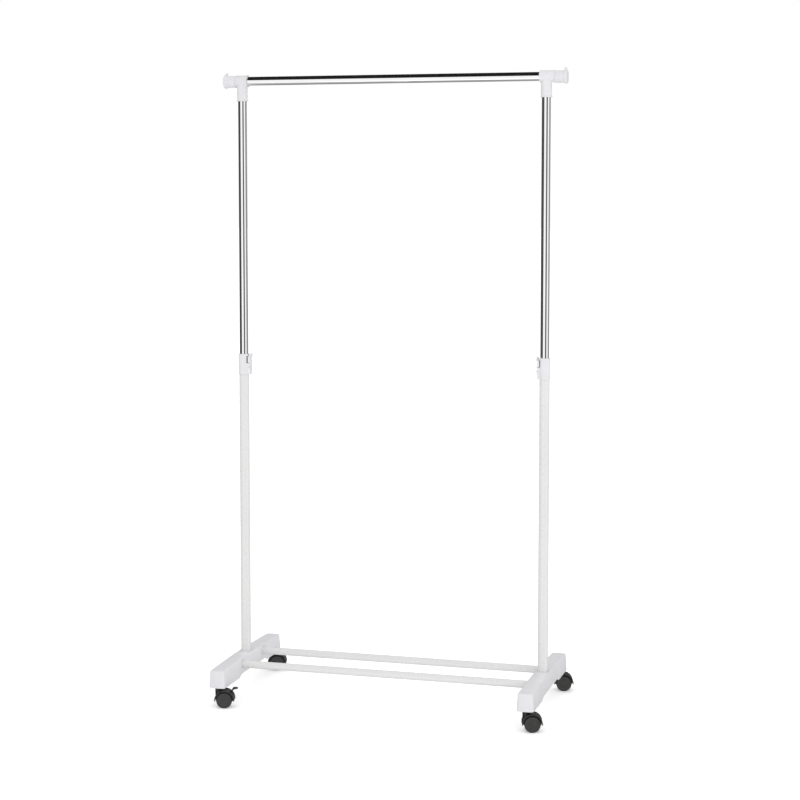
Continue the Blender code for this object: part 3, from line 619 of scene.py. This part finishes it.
def pipe(radius, bore, low, high, ease=0.3 * MM, sides=96):
    """A cut and deburred length of tube."""
    return turned(
        [
            (bore, low + ease),
            (bore + ease, low),
            (radius - ease, low),
            (radius, low + ease),
            (radius, high - ease),
            (radius - ease, high),
            (bore + ease, high),
            (bore, high - ease),
        ],
        sides,
    )


BAR_WALL = 1.1 * MM

for end_name in ("front", "back"):
    low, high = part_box(f"crossbar_{end_name}")
    bar_radius = (high.z - low.z) / 2
    bar = pipe(bar_radius, bar_radius - BAR_WALL, low.x, high.x)
    bar_place = at(0, middle(f"crossbar_{end_name}").y, middle(f"crossbar_{end_name}").z) @ ALONG_X
    name = f"bottom_bar_{end_name}"
    fit(name, moved(bar, bar_place), powder_white, "base", "powder_white", f"crossbar_{end_name}")
    for side_name in ("left", "right"):
        finish_node(f"crossbar_screw_{end_name}_{side_name}", zinc_steel)


# ---------------------------------------------------------------- Posts
# The lower halves of the uprights: 25.4 mm steel tubes in the same powder coat. A nylon plug in the
# lower end takes the bolt that comes up through the foot.

nylon, tree, shader, place = new_finish("nylon", (0.70, 0.69, 0.66), 0.5)
tree.links.new(ranged(tree, clouds(tree, place, 300, 2), 0.4, 0.6), shader.inputs["Roughness"])
milky = ranged(tree, clouds(tree, place, 80, 2), 0, 1)
tree.links.new(tinted(tree, milky, (0.66, 0.65, 0.61), (0.73, 0.72, 0.69)), shader.inputs["Base Color"])
relief(tree, shader, (clouds(tree, place, 2200, 2), 0.01 * MM))


POST_WALL = 1.2 * MM
WINDOW_FROM, WINDOW_TO = 8 * MM, 18 * MM  # outwards from the upright's axis


def shoe_window(side_name):
    """What is cut out of a post and its collar to let the grip shoe reach the upper tube."""
    low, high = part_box(f"grip_shoe_{side_name}")
    half_width = high.y + 0.5 * MM
    return block(
        (WINDOW_FROM, -half_width, low.z - 1.8 * MM),
        (WINDOW_TO, half_width, high.z + 0.8 * MM),
    )


for side_name, side in (("left", -1), ("right", 1)):
    low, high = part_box(f"post_{side_name}")
    post_radius = (high.y - low.y) / 2
    post = pipe(post_radius, post_radius - POST_WALL, low.z, high.z)
    post = carved(post, ("DIFFERENCE", shoe_window(side_name)))
    post = moved(post, at(middle(f"post_{side_name}").x) @ Matrix.Diagonal((-side, 1, 1, 1)))
    fit(f"lower_post_{side_name}", post, powder_white, "base", "powder_white", f"post_{side_name}")
    finish_node(f"post_plug_{side_name}", nylon)
    finish_node(f"post_bolt_{side_name}", zinc_steel)


# ---------------------------------------------------------------- Collars and lock levers
# A white sleeve on each post guides the upper tube. Between its cheeks a lever turns on a pin, held by a
# torsion spring, and presses a rubber shoe on the upper tube; pressing its waisted thumb tab lets go.

grip_rubber, tree, shader, place = new_finish("grip_rubber", (0.045, 0.045, 0.045), 0.8)
tree.links.new(ranged(tree, clouds(tree, place, 700, 2), 0.7, 0.9), shader.inputs["Roughness"])
relief(tree, shader, (clouds(tree, place, 1800, 2), 0.02 * MM))

FITTED = 0.3 * MM  # the play between pieces that fit in each other
CHEEK_INNER = 6.3 * MM
CHEEK_OUTER = 8.5 * MM
CHEEK_REACH = 19.3 * MM  # from the upright's axis
CHEEK_HEIGHT = 29.5 * MM  # over the collar's lower end
TAB_SLOT_X = 9.3 * MM
TAB_SLOT_HEIGHT = 48.3 * MM
TAB_SLOT_HALF_WIDTH = 12 * MM
TAB_INNER = 12.7 * MM
TAB_HALF_WIDTH = 8.4 * MM
TAB_WAIST = 1.8 * MM
TAB_GAP = 1.2 * MM  # between the cheeks and the tab
LEVER_INNER = 15.4 * MM
LEVER_FACE = 19.8 * MM
FLANGE_INNER = 16.6 * MM
FLANGE_FACE = 20.8 * MM
COIL_ROOM = 2.1 * MM
COIL_SLOT_HALF_WIDTH = 1.9 * MM
PIN_WAY_HALF_LENGTH = 12 * MM
THROUGH = 30 * MM  # the reach of a cutter that goes right through


def drawn_out(outline, half_width):
    """An (x, z) outline, given a thickness along Y."""
    shape = bmesh.new()
    face = shape.faces.new([shape.verts.new((x, -half_width, z)) for x, z in outline])
    drawn = bmesh.ops.extrude_face_region(shape, geom=[face])["geom"]
    far = [item for item in drawn if isinstance(item, bmesh.types.BMVert)]
    bmesh.ops.translate(shape, vec=(0, 2 * half_width, 0), verts=far)
    bmesh.ops.recalc_face_normals(shape, faces=shape.faces)
    return shape


def inward(side, upright_x):
    """From a collar made round the Z axis with its lever at +X, to its place on a post."""
    return at(upright_x) @ Matrix.Diagonal((-side, 1, 1, 1))


def pin_way(radius, x, z):
    return moved(plain_rod(radius, -PIN_WAY_HALF_LENGTH, PIN_WAY_HALF_LENGTH, 24), at(x, 0, z) @ ALONG_Y)


def collar_shape(side_name):
    low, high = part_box(f"collar_{side_name}")
    outside = (high.y - low.y) / 2
    over_post = round_radius(f"post_{side_name}", 1) + FITTED
    over_mast = round_radius(f"mast_{side_name}", 1) + FITTED
    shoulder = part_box(f"post_{side_name}")[1].z + FITTED
    pin = middle(f"lever_pin_{side_name}")
    pin_out = abs(pin.x - middle(f"post_{side_name}").x)
    sleeve = turned(
        [
            (over_post, low.z + 0.4 * MM),
            (over_post + 0.4 * MM, low.z),
            (outside - 0.9 * MM, low.z),
            (outside - 0.26 * MM, low.z + 0.26 * MM),
            (outside, low.z + 0.9 * MM),
            (outside, high.z - 1.6 * MM),
            (outside - 0.47 * MM, high.z - 0.47 * MM),
            (outside - 1.6 * MM, high.z),
            (over_mast + 0.5 * MM, high.z),
            (over_mast, high.z - 0.5 * MM),
            (over_mast, shoulder),
            (over_post, shoulder),
        ],
        72,
    )
    steps = []
    for near, far in ((CHEEK_INNER, CHEEK_OUTER), (-CHEEK_OUTER, -CHEEK_INNER)):
        cheek = block((11 * MM, near, low.z), (CHEEK_REACH, far, low.z + CHEEK_HEIGHT))
        rounded = eased(cheek, 0.5 * MM, where=lambda edge: min(v.co.x for v in edge.verts) > 14 * MM)
        steps.append(("UNION", rounded))
    steps.append(("DIFFERENCE", plain_rod(over_post, low.z - MM, shoulder, 72)))
    tab_slot = block(
        (TAB_SLOT_X, -TAB_SLOT_HALF_WIDTH, low.z + CHEEK_HEIGHT),
        (THROUGH, TAB_SLOT_HALF_WIDTH, low.z + TAB_SLOT_HEIGHT),
    )
    steps.append(("DIFFERENCE", tab_slot))
    steps.append(("DIFFERENCE", shoe_window(side_name)))
    pin_bore = round_radius(f"lever_pin_{side_name}", 0) + FITTED
    steps.append(("DIFFERENCE", pin_way(pin_bore, pin_out, pin.z)))
    return carved(sleeve, *steps)


def lever_shape(side_name):
    low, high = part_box(f"lock_lever_{side_name}")
    collar_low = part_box(f"collar_{side_name}")[0].z
    tab_low = collar_low + CHEEK_HEIGHT + TAB_GAP
    tab_high = collar_low + TAB_SLOT_HEIGHT - 2 * FITTED
    pin = middle(f"lever_pin_{side_name}")
    pin_out = abs(pin.x - middle(f"post_{side_name}").x)
    waist_low, waist_high = tab_low + 2.4 * MM, tab_high - 1.2 * MM
    steps = 16
    waist = [
        (
            LEVER_FACE - TAB_WAIST * math.sin(math.pi * step / steps),
            waist_low + (waist_high - waist_low) * step / steps,
        )
        for step in range(steps + 1)
    ]
    flange = [
        (FLANGE_FACE, tab_high + MM),
        (FLANGE_FACE, high.z),
        (FLANGE_INNER, high.z),
        (FLANGE_INNER, tab_high),
        (TAB_INNER, tab_high),
    ]
    tab = drawn_out([(TAB_INNER, tab_low), (LEVER_FACE, tab_low)] + waist + flange, TAB_HALF_WIDTH)
    lower = drawn_out(
        [
            (LEVER_INNER, low.z),
            (LEVER_FACE - 0.8 * MM, low.z),
            (LEVER_FACE, low.z + 0.8 * MM),
            (LEVER_FACE, tab_low + MM),
            (LEVER_FACE - MM, tab_low + 2 * MM),
            (LEVER_INNER + MM, tab_low + 2 * MM),
            (LEVER_INNER, tab_low + MM),
        ],
        CHEEK_INNER - FITTED,
    )
    coil_slot = block(
        (LEVER_INNER - 3 * MM, -COIL_SLOT_HALF_WIDTH, pin.z - COIL_ROOM),
        (pin_out + COIL_ROOM, COIL_SLOT_HALF_WIDTH, pin.z + COIL_ROOM),
    )
    return carved(
        eased(tab, 0.5 * MM),
        ("UNION", eased(lower, 0.3 * MM, 2)),
        ("DIFFERENCE", pin_way(round_radius(f"lever_pin_{side_name}", 0) + FITTED, pin_out, pin.z)),
        ("DIFFERENCE", coil_slot),
    )


for side_name, side in (("left", -1), ("right", 1)):
    to_post = inward(side, middle(f"post_{side_name}").x)
    sleeve = moved(collar_shape(side_name), to_post)
    fit(f"sleeve_{side_name}", sleeve, white_plastic, "base", "white_plastic", f"collar_{side_name}")
    thumb = moved(lever_shape(side_name), to_post)
    lever_body, lever_node = f"lever_{side_name}", f"lock_lever_{side_name}"
    fit(f"thumb_lever_{side_name}", thumb, white_plastic, lever_body, "white_plastic", lever_node)

    pin = middle(f"lever_pin_{side_name}")
    pin_half = round_radius(f"lever_pin_{side_name}", 1)
    pin_radius = round_radius(f"lever_pin_{side_name}", 0)
    hinge = turned(
        [
            (0, -pin_half),
            (pin_radius - 0.3 * MM, -pin_half),
            (pin_radius, -pin_half + 0.3 * MM),
            (pin_radius, pin_half - 0.3 * MM),
            (pin_radius - 0.3 * MM, pin_half),
            (0, pin_half),
        ],
        32,
    )
    hinge = moved(hinge, at(pin.x, 0, pin.z) @ ALONG_Y)
    fit(f"hinge_pin_{side_name}", hinge, zinc_steel, "base", "zinc_steel", f"lever_pin_{side_name}")
    finish_node(f"lever_spring_{side_name}", zinc_steel)
    finish_node(f"grip_shoe_{side_name}", grip_rubber)


# ---------------------------------------------------------------- Upper tubes
# The upper halves of the uprights: 22 mm steel tubes in bright chrome plate, sliding in the posts. The
# plate is nearly a mirror, with faint polishing lines along it.

CHROME_BRIGHT = (0.90, 0.90, 0.905)
CHROME_DULL = (0.84, 0.84, 0.85)
CHROME_WALL = 1.0 * MM


def chrome_plate(name, along):
    """Chrome with polishing lines that run along one axis: (1, 1, 0.02) for a tube along Z."""
    finish, tree, shader, place = new_finish(name, CHROME_BRIGHT, 0.05, 1.0)
    haze = ranged(tree, clouds(tree, place, 7, 3), 0, 1)
    tree.links.new(tinted(tree, haze, CHROME_DULL, CHROME_BRIGHT), shader.inputs["Base Color"])
    lines = clouds(tree, place, 1800, 2, along)
    tree.links.new(ranged(tree, lines, 0.035, 0.085), shader.inputs["Roughness"])
    relief(tree, shader, (lines, 0.0006 * MM), (clouds(tree, place, 26, 2, along), 0.004 * MM))
    return finish


chrome_upright = chrome_plate("chrome_upright", (1, 1, 0.02))
chrome_rail = chrome_plate("chrome_rail", (0.02, 1, 1))

for side_name in ("left", "right"):
    low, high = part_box(f"mast_{side_name}")
    mast_radius = (high.y - low.y) / 2
    mast = pipe(mast_radius, mast_radius - CHROME_WALL, low.z, high.z)
    mast = moved(mast, at(middle(f"mast_{side_name}").x))
    fit(f"upper_tube_{side_name}", mast, chrome_upright, "upper_frame", "chrome", f"mast_{side_name}")
    finish_node(f"mast_foot_{side_name}", nylon)


# ---------------------------------------------------------------- Rail
# The hanging rail is the same chrome tube, laid across. Both of its ends are open for the pull-out rods.

low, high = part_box("hanging_rail")
rail_centre = (low + high) / 2
rail_radius = (high.z - low.z) / 2
on_rail = at(0, rail_centre.y, rail_centre.z) @ ALONG_X
rail = moved(pipe(rail_radius, rail_radius - CHROME_WALL, low.x, high.x), on_rail)
fit("rail_tube", rail, chrome_rail, "upper_frame", "chrome", "hanging_rail")


# ---------------------------------------------------------------- Tee connectors
# White moulded tees join the rail to the upper tubes. Their mouths for the rail and the upper tube have
# a raised bead, and their outer mouth is plain where the end cap meets it.

TEE_ARM_RADIUS = 14.8 * MM
TEE_LIP = 0.8 * MM
TEE_STEM_RADIUS = 13.5 * MM
TEE_BEAD = 1.2 * MM
TEE_BEAD_WIDTH = 2.4 * MM
TEE_EASE = 0.35 * MM
TEE_BORE_REACH = 40 * MM

for side_name, side in (("left", -1), ("right", 1)):
    low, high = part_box(f"tee_{side_name}")
    upright_x = middle(f"mast_{side_name}").x
    mast_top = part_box(f"mast_{side_name}")[1].z
    reach = abs((low.x if side > 0 else high.x) - upright_x)
    outer_reach = abs((high.x if side > 0 else low.x) - upright_x)
    lip = TEE_ARM_RADIUS + TEE_LIP
    arm = turned(
        [
            (0, -reach),
            (lip - 0.7 * MM, -reach),
            (lip - 0.2 * MM, -reach + 0.2 * MM),
            (lip, -reach + 0.7 * MM),
            (lip, -reach + 1.8 * MM),
            (lip - 0.3 * MM, -reach + TEE_BEAD_WIDTH),
            (TEE_ARM_RADIUS, -reach + TEE_BEAD_WIDTH + 0.6 * MM),
            (TEE_ARM_RADIUS, outer_reach - TEE_EASE),
            (TEE_ARM_RADIUS - 0.3 * TEE_EASE, outer_reach - 0.3 * TEE_EASE),
            (TEE_ARM_RADIUS - TEE_EASE, outer_reach),
            (0, outer_reach),
        ],
        80,
    )
    bead = TEE_STEM_RADIUS + TEE_BEAD
    stem = turned(
        [
            (0, low.z),
            (bead - 0.8 * MM, low.z),
            (bead - 0.2 * MM, low.z + 0.25 * MM),
            (bead, low.z + 0.8 * MM),
            (bead, low.z + 1.8 * MM),
            (bead - 0.4 * MM, low.z + TEE_BEAD_WIDTH),
            (TEE_STEM_RADIUS, low.z + TEE_BEAD_WIDTH + 0.9 * MM),
            (TEE_STEM_RADIUS, rail_centre.z),
            (0, rail_centre.z),
        ],
        80,
    )
    bore = rail_radius + FITTED
    at_rail = at(0, 0, rail_centre.z) @ ALONG_X
    tee = carved(
        moved(arm, at_rail),
        ("UNION", stem),
        ("DIFFERENCE", moved(plain_rod(bore, -TEE_BORE_REACH, TEE_BORE_REACH, 64), at_rail)),
        ("DIFFERENCE", plain_rod(bore, low.z - CUT_PAST, mast_top + FITTED, 64)),
        solver="MANIFOLD",
    )
    tee = moved(tee, at(upright_x) @ Matrix.Diagonal((side, 1, 1, 1)))
    fit(f"tee_joint_{side_name}", tee, white_plastic, "upper_frame", "white_plastic", f"tee_{side_name}")


# ---------------------------------------------------------------- Pull-out rods and end caps
# A thinner chrome rod slides in each end of the rail on a nylon bush. Its white cap is a closed cup with
# a thick lip and an upturned prong, which keeps hangers from sliding off.

CAP_LIP = 2.1 * MM  # the lip stands out this far from the cap's sleeve
CAP_LIP_WIDTH = 6.4 * MM
CAP_SEAT_DEPTH = 4.5 * MM  # the seat goes over the end of the rail
PRONG_HALF_WIDTH = 4 * MM
PRONG_TAPER = 0.3  # how much narrower the prong's tip is

for side_name, side in (("left", -1), ("right", 1)):
    low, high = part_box(f"pull_rod_{side_name}")
    rod_radius = (high.z - low.z) / 2
    rod = moved(pipe(rod_radius, rod_radius - CHROME_WALL, low.x, high.x), on_rail)
    pull_out = f"pull_out_{side_name}"
    fit(f"inner_rod_{side_name}", rod, chrome_rail, pull_out, "chrome", f"pull_rod_{side_name}")
    finish_node(f"rod_bush_{side_name}", nylon)

    rod_end = high.x if side > 0 else -low.x
    low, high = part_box(f"end_cap_{side_name}")
    inner = low.x if side > 0 else -high.x
    outer = high.x if side > 0 else -low.x
    lip = (high.y - low.y) / 2
    sleeve = lip - CAP_LIP
    cap_z = low.z + lip
    lip_from = outer - CAP_LIP_WIDTH
    cup = turned(
        [
            (0, inner),
            (sleeve - 0.5 * MM, inner),
            (sleeve - 0.15 * MM, inner + 0.15 * MM),
            (sleeve, inner + 0.5 * MM),
            (sleeve, lip_from - 1.9 * MM),
            (sleeve + 0.4 * MM, lip_from - 1.3 * MM),
            (lip - 0.6 * MM, lip_from - 0.5 * MM),
            (lip - 0.15 * MM, lip_from),
            (lip, lip_from + 0.6 * MM),
            (lip, outer - 2.8 * MM),
            (lip - 0.35 * MM, outer - 1.5 * MM),
            (lip - 1.2 * MM, outer - 0.5 * MM),
            (lip - 3.0 * MM, outer),
            (lip - 5.5 * MM, outer - 0.2 * MM),
            (lip - 6.5 * MM, outer - 0.8 * MM),
            (0, outer - 0.9 * MM),
        ],
        80,
    )
    foot_z = cap_z + lip - 3 * MM
    prong = drawn_out(
        [
            (outer - 8.8 * MM, foot_z),
            (outer - 1.4 * MM, foot_z),
            (outer - 1.0 * MM, foot_z + 3.2 * MM),
            (outer - 2.9 * MM, foot_z + 6.0 * MM),
            (outer - 4.2 * MM, high.z - 1.0 * MM),
            (outer - 5.2 * MM, high.z),
            (outer - 6.9 * MM, high.z),
            (outer - 7.8 * MM, high.z - 0.9 * MM),
            (outer - 8.0 * MM, foot_z + 5.4 * MM),
            (outer - 8.4 * MM, foot_z + 3.4 * MM),
        ],
        PRONG_HALF_WIDTH,
    )
    for vert in prong.verts:
        share = max(0, (vert.co.z - foot_z - 3 * MM) / (high.z - foot_z - 3 * MM))
        vert.co.y *= 1 - PRONG_TAPER * share
    seat = plain_rod(rail_radius + FITTED, inner - MM, inner + CAP_SEAT_DEPTH, 80)
    cap = carved(
        moved(cup, at(0, 0, cap_z) @ ALONG_X),
        ("UNION", eased(prong, 0.7 * MM, sharper_than=25)),
        ("DIFFERENCE", moved(plain_rod(rod_radius + FITTED, inner - MM, rod_end + FITTED, 64), on_rail)),
        ("DIFFERENCE", moved(seat, on_rail)),
    )
    cap = moved(cap, Matrix.Diagonal((side, 1, 1, 1)))
    fit(f"rail_cap_{side_name}", cap, white_plastic, pull_out, "white_plastic", f"end_cap_{side_name}")


# ---------------------------------------------------------------- Castors
# Each castor is a black moulded hood on a zinc stem, over two wheels on one axle. The wheels have a black
# tread and a dark grey disc in their outer face. The hood's sides end in points by the axle.

black_plastic, tree, shader, place = new_finish("black_plastic", (0.016, 0.016, 0.017), 0.4)
grain = clouds(tree, place, 1500, 2)
flow = ranged(tree, clouds(tree, place, 70, 3), 0, 1)
black_body = tinted(tree, flow, (0.013, 0.013, 0.014), (0.021, 0.021, 0.022))
# The outer edges are painted lighter than the body: a painted highlight.
tree.links.new(tinted(tree, highlighted_edges_of(tree), black_body, (0.055, 0.055, 0.056)), shader.inputs["Base Color"])
tree.links.new(ranged(tree, clouds(tree, place, 400, 3), 0.32, 0.48), shader.inputs["Roughness"])
relief(tree, shader, (grain, 0.014 * MM))

disc_grey, tree, shader, place = new_finish("disc_grey", (0.035, 0.035, 0.034), 0.5)
flow = ranged(tree, clouds(tree, place, 110, 3), 0, 1)
disc_body = tinted(tree, flow, (0.031, 0.031, 0.030), (0.040, 0.040, 0.038))
# The outer edges are painted lighter than the disc: a painted highlight.
tree.links.new(tinted(tree, highlighted_edges_of(tree), disc_body, (0.08, 0.08, 0.077)), shader.inputs["Base Color"])
tree.links.new(ranged(tree, clouds(tree, place, 500, 3), 0.42, 0.58), shader.inputs["Roughness"])
relief(tree, shader, (clouds(tree, place, 1700, 2), 0.016 * MM))

tread_black, tree, shader, place = new_finish("tread_black", (0.020, 0.020, 0.020), 0.6)
dust = ranged(tree, clouds(tree, place, 240, 4), 0, 0.5, 0.55, 0.75)
tree.links.new(tinted(tree, dust, (0.018, 0.018, 0.018), (0.06, 0.058, 0.054)), shader.inputs["Base Color"])
tree.links.new(ranged(tree, clouds(tree, place, 600, 3), 0.5, 0.75), shader.inputs["Roughness"])
relief(tree, shader, (clouds(tree, place, 1300, 2), 0.02 * MM))

# About the stem's axis, with the wheels trailing towards +X.
CASTOR_TURN = math.radians(15)
WHEEL_TRAIL = 15 * MM
WHEEL_INNER = 6.2 * MM
WHEEL_OUTER = 17.6 * MM
HOOD_RADIUS = 25.5 * MM
HOOD_BORE = 22.5 * MM
HOOD_HALF_WIDTH = 17.5 * MM
HOOD_RIM = 2.6 * MM  # a raised band along each side
HOOD_WEB = 5.8 * MM
HOOD_EDGE = 0.7 * MM
HOOD_TIP_Z = 16.5 * MM
HOOD_TIP_RISE = 4.5 * MM
BOSS_RADIUS = 9 * MM
BOSS_FOOT = 32 * MM
STEM_HOLE_FROM, STEM_HOLE_TO = 29.2 * MM, 80 * MM
STEM_HOLE = 3.8 * MM
AXLE_HOLE = 2.8 * MM
PEDAL_PIN_HOLE = 1.25 * MM
PEDAL_X = 32 * MM
PEDAL_Z = 35 * MM
PEDAL_SLOT = 3.6 * MM


def at_axle(shape, axle_z):
    return moved(shape, at(WHEEL_TRAIL, 0, axle_z) @ ALONG_Y)


def castor_place(name):
    stem = middle(f"{name}_stem")
    return at(stem.x, stem.y) @ Matrix.Rotation(CASTOR_TURN, 4, "Z")


def hood_shape(name, braked):
    """The hood of one castor: a half drum, cleared for the wheels, with the swivel boss joined to it."""
    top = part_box(f"{name}_hood")[1].z
    axle_z = middle(f"{name}_axle").z
    half = [
        (HOOD_RADIUS - HOOD_EDGE, HOOD_HALF_WIDTH),
        (HOOD_RADIUS - 0.2 * MM, HOOD_HALF_WIDTH - 0.2 * MM),
        (HOOD_RADIUS, HOOD_HALF_WIDTH - HOOD_EDGE),
        (HOOD_RADIUS, HOOD_HALF_WIDTH - HOOD_RIM),
        (HOOD_RADIUS - 0.5 * MM, HOOD_HALF_WIDTH - HOOD_RIM - 0.5 * MM),
    ]
    profile = [(0, -HOOD_HALF_WIDTH)] + [(r, -y) for r, y in half] + half[::-1] + [(0, HOOD_HALF_WIDTH)]
    boss = turned(
        [
            (0, BOSS_FOOT),
            (BOSS_RADIUS, BOSS_FOOT),
            (BOSS_RADIUS, top - 0.6 * MM),
            (BOSS_RADIUS - 0.6 * MM, top),
            (0, top),
        ],
        56,
    )
    left, right = WHEEL_TRAIL - HOOD_BORE + 0.2 * MM, WHEEL_TRAIL + HOOD_BORE - 0.2 * MM
    far_left, far_right = WHEEL_TRAIL - HOOD_RADIUS, WHEEL_TRAIL + HOOD_RADIUS
    past = 20 * MM
    high = HOOD_TIP_Z + HOOD_TIP_RISE
    below = drawn_out(
        [
            (far_left - past, -past),
            (far_right + past, -past),
            (far_right + past, HOOD_TIP_Z),
            (far_right, HOOD_TIP_Z),
            (right, high),
            (right, HOOD_TIP_Z),
            (left, HOOD_TIP_Z),
            (left, high),
            (far_left, HOOD_TIP_Z),
            (far_left - past, HOOD_TIP_Z),
        ],
        THROUGH,
    )
    steps = [("UNION", boss)]
    for near, far in ((HOOD_WEB, THROUGH), (-THROUGH, -HOOD_WEB)):
        steps.append(("DIFFERENCE", at_axle(plain_rod(HOOD_BORE, near, far, 80), axle_z)))
    steps.append(("DIFFERENCE", below))
    steps.append(("DIFFERENCE", plain_rod(STEM_HOLE, STEM_HOLE_FROM, STEM_HOLE_TO, 32)))
    steps.append(("DIFFERENCE", at_axle(plain_rod(AXLE_HOLE, -THROUGH, THROUGH, 32), axle_z)))
    if braked:
        slot = block(
            (PEDAL_X - 5 * MM, -PEDAL_SLOT, PEDAL_Z - 4.5 * MM),
            (PEDAL_X + THROUGH, PEDAL_SLOT, PEDAL_Z + 20 * MM),
        )
        steps += [("DIFFERENCE", slot), ("DIFFERENCE", pin_way(PEDAL_PIN_HOLE, PEDAL_X, PEDAL_Z))]
    return carved(at_axle(turned(profile, 80), axle_z), *steps, solver="MANIFOLD")


def tread_shape(facing, radius, seat):
    """The wheel's black body: a ring with rounded shoulders, a seat for the disc, and the axle's bore."""
    inner, outer = WHEEL_INNER, WHEEL_OUTER
    profile = [
        (AXLE_HOLE, inner),
        (radius - 1.0 * MM, inner),
        (radius - 0.3 * MM, inner + 0.3 * MM),
        (radius, inner + 1.0 * MM),
        (radius, outer - 1.0 * MM),
        (radius - 0.3 * MM, outer - 0.3 * MM),
        (radius - 0.8 * MM, outer - 0.05 * MM),
        (seat, outer - 0.05 * MM),
        (seat, outer - 1.5 * MM),
        (0, outer - 1.5 * MM),
        (0, outer - 2.3 * MM),
        (AXLE_HOLE, outer - 2.3 * MM),
    ]
    return turned([(r, facing * y) for r, y in profile], 96)


def disc_shape(facing, seat):
    """The grey disc: slightly dished, with a shallow ring groove and a small round hub."""
    outer = WHEEL_OUTER
    profile = [
        (0, outer - 1.4 * MM),
        (seat - 0.15 * MM, outer - 1.4 * MM),
        (seat - 0.15 * MM, outer - 0.25 * MM),
        (seat - 0.45 * MM, outer),
        (seat - 2.6 * MM, outer),
        (seat - 3.0 * MM, outer - 0.2 * MM),
        (seat - 3.5 * MM, outer - 0.2 * MM),
        (seat - 3.9 * MM, outer - 0.05 * MM),
        (5.2 * MM, outer - 0.2 * MM),
        (4.8 * MM, outer - 0.4 * MM),
        (4.3 * MM, outer - 0.4 * MM),
        (3.9 * MM, outer - 0.15 * MM),
        (1.2 * MM, outer - 0.1 * MM),
        (0, outer - 0.1 * MM),
    ]
    return turned([(r, facing * y) for r, y in profile], 96)


for end_name in ("front", "back"):
    for side_name in ("left", "right"):
        name = f"castor_{end_name}_{side_name}"
        on_castor = castor_place(name)
        hood = moved(hood_shape(name, name == "castor_front_left"), on_castor)
        fit(f"{name}_cover", hood, black_plastic, name, "black_plastic", f"{name}_hood")
        finish_node(f"{name}_stem", zinc_steel)
        finish_node(f"{name}_axle", zinc_steel)
        radius = middle(f"{name}_axle").z
        seat = radius - 1.2 * MM
        for wheel_name, facing in (("near", -1), ("far", 1)):
            wheel_body = f"{name}_wheel_{wheel_name}"
            tread = moved(at_axle(tread_shape(facing, radius, seat), radius), on_castor)
            fit(f"{wheel_body}_tread", tread, tread_black, wheel_body, "wheel_grey", wheel_body)
            disc = moved(at_axle(disc_shape(facing, seat), radius), on_castor)
            fit(f"{wheel_body}_disc", disc, disc_grey, wheel_body, "wheel_grey")


# ---------------------------------------------------------------- Brake pedal
# Only the front left castor has a brake: a black moulded pedal on a small pin in the hood's slot, with a
# round paddle for the toe. Pressing it down locks the wheels.

PADDLE_RADIUS = 7 * MM
PADDLE_X = PEDAL_X + 10.5 * MM
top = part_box("brake_pedal")[1].z
neck = drawn_out(
    [
        (PEDAL_X - 2.6 * MM, PEDAL_Z - 2.4 * MM),
        (PEDAL_X + 2.6 * MM, PEDAL_Z - 2.4 * MM),
        (PEDAL_X + 4.5 * MM, PEDAL_Z + 8.5 * MM),
        (PEDAL_X + 12 * MM, top - 3.4 * MM),
        (PEDAL_X + 12 * MM, top - 0.8 * MM),
        (PEDAL_X + 3.5 * MM, PEDAL_Z + 13 * MM),
        (PEDAL_X - 2.6 * MM, PEDAL_Z + 3 * MM),
    ],
    PEDAL_SLOT - 2 * FITTED,
)
paddle = turned(
    [
        (0, top - 3.6 * MM),
        (PADDLE_RADIUS - 1.2 * MM, top - 3.6 * MM),
        (PADDLE_RADIUS - 0.2 * MM, top - 2.6 * MM),
        (PADDLE_RADIUS, top - 1.2 * MM),
        (PADDLE_RADIUS - 0.5 * MM, top - 0.3 * MM),
        (PADDLE_RADIUS - 1.4 * MM, top),
        (PADDLE_RADIUS - 2.4 * MM, top - 0.5 * MM),
        (0, top - 0.6 * MM),
    ],
    56,
)
pedal = carved(
    eased(neck, 0.5 * MM, sharper_than=25),
    ("UNION", moved(paddle, at(PADDLE_X))),
    ("DIFFERENCE", pin_way(PEDAL_PIN_HOLE, PEDAL_X, PEDAL_Z)),
)
pedal = moved(pedal, castor_place("castor_front_left"))
fit("foot_pedal", pedal, black_plastic, "brake", "black_plastic", "brake_pedal")
finish_node("brake_pin", zinc_steel)
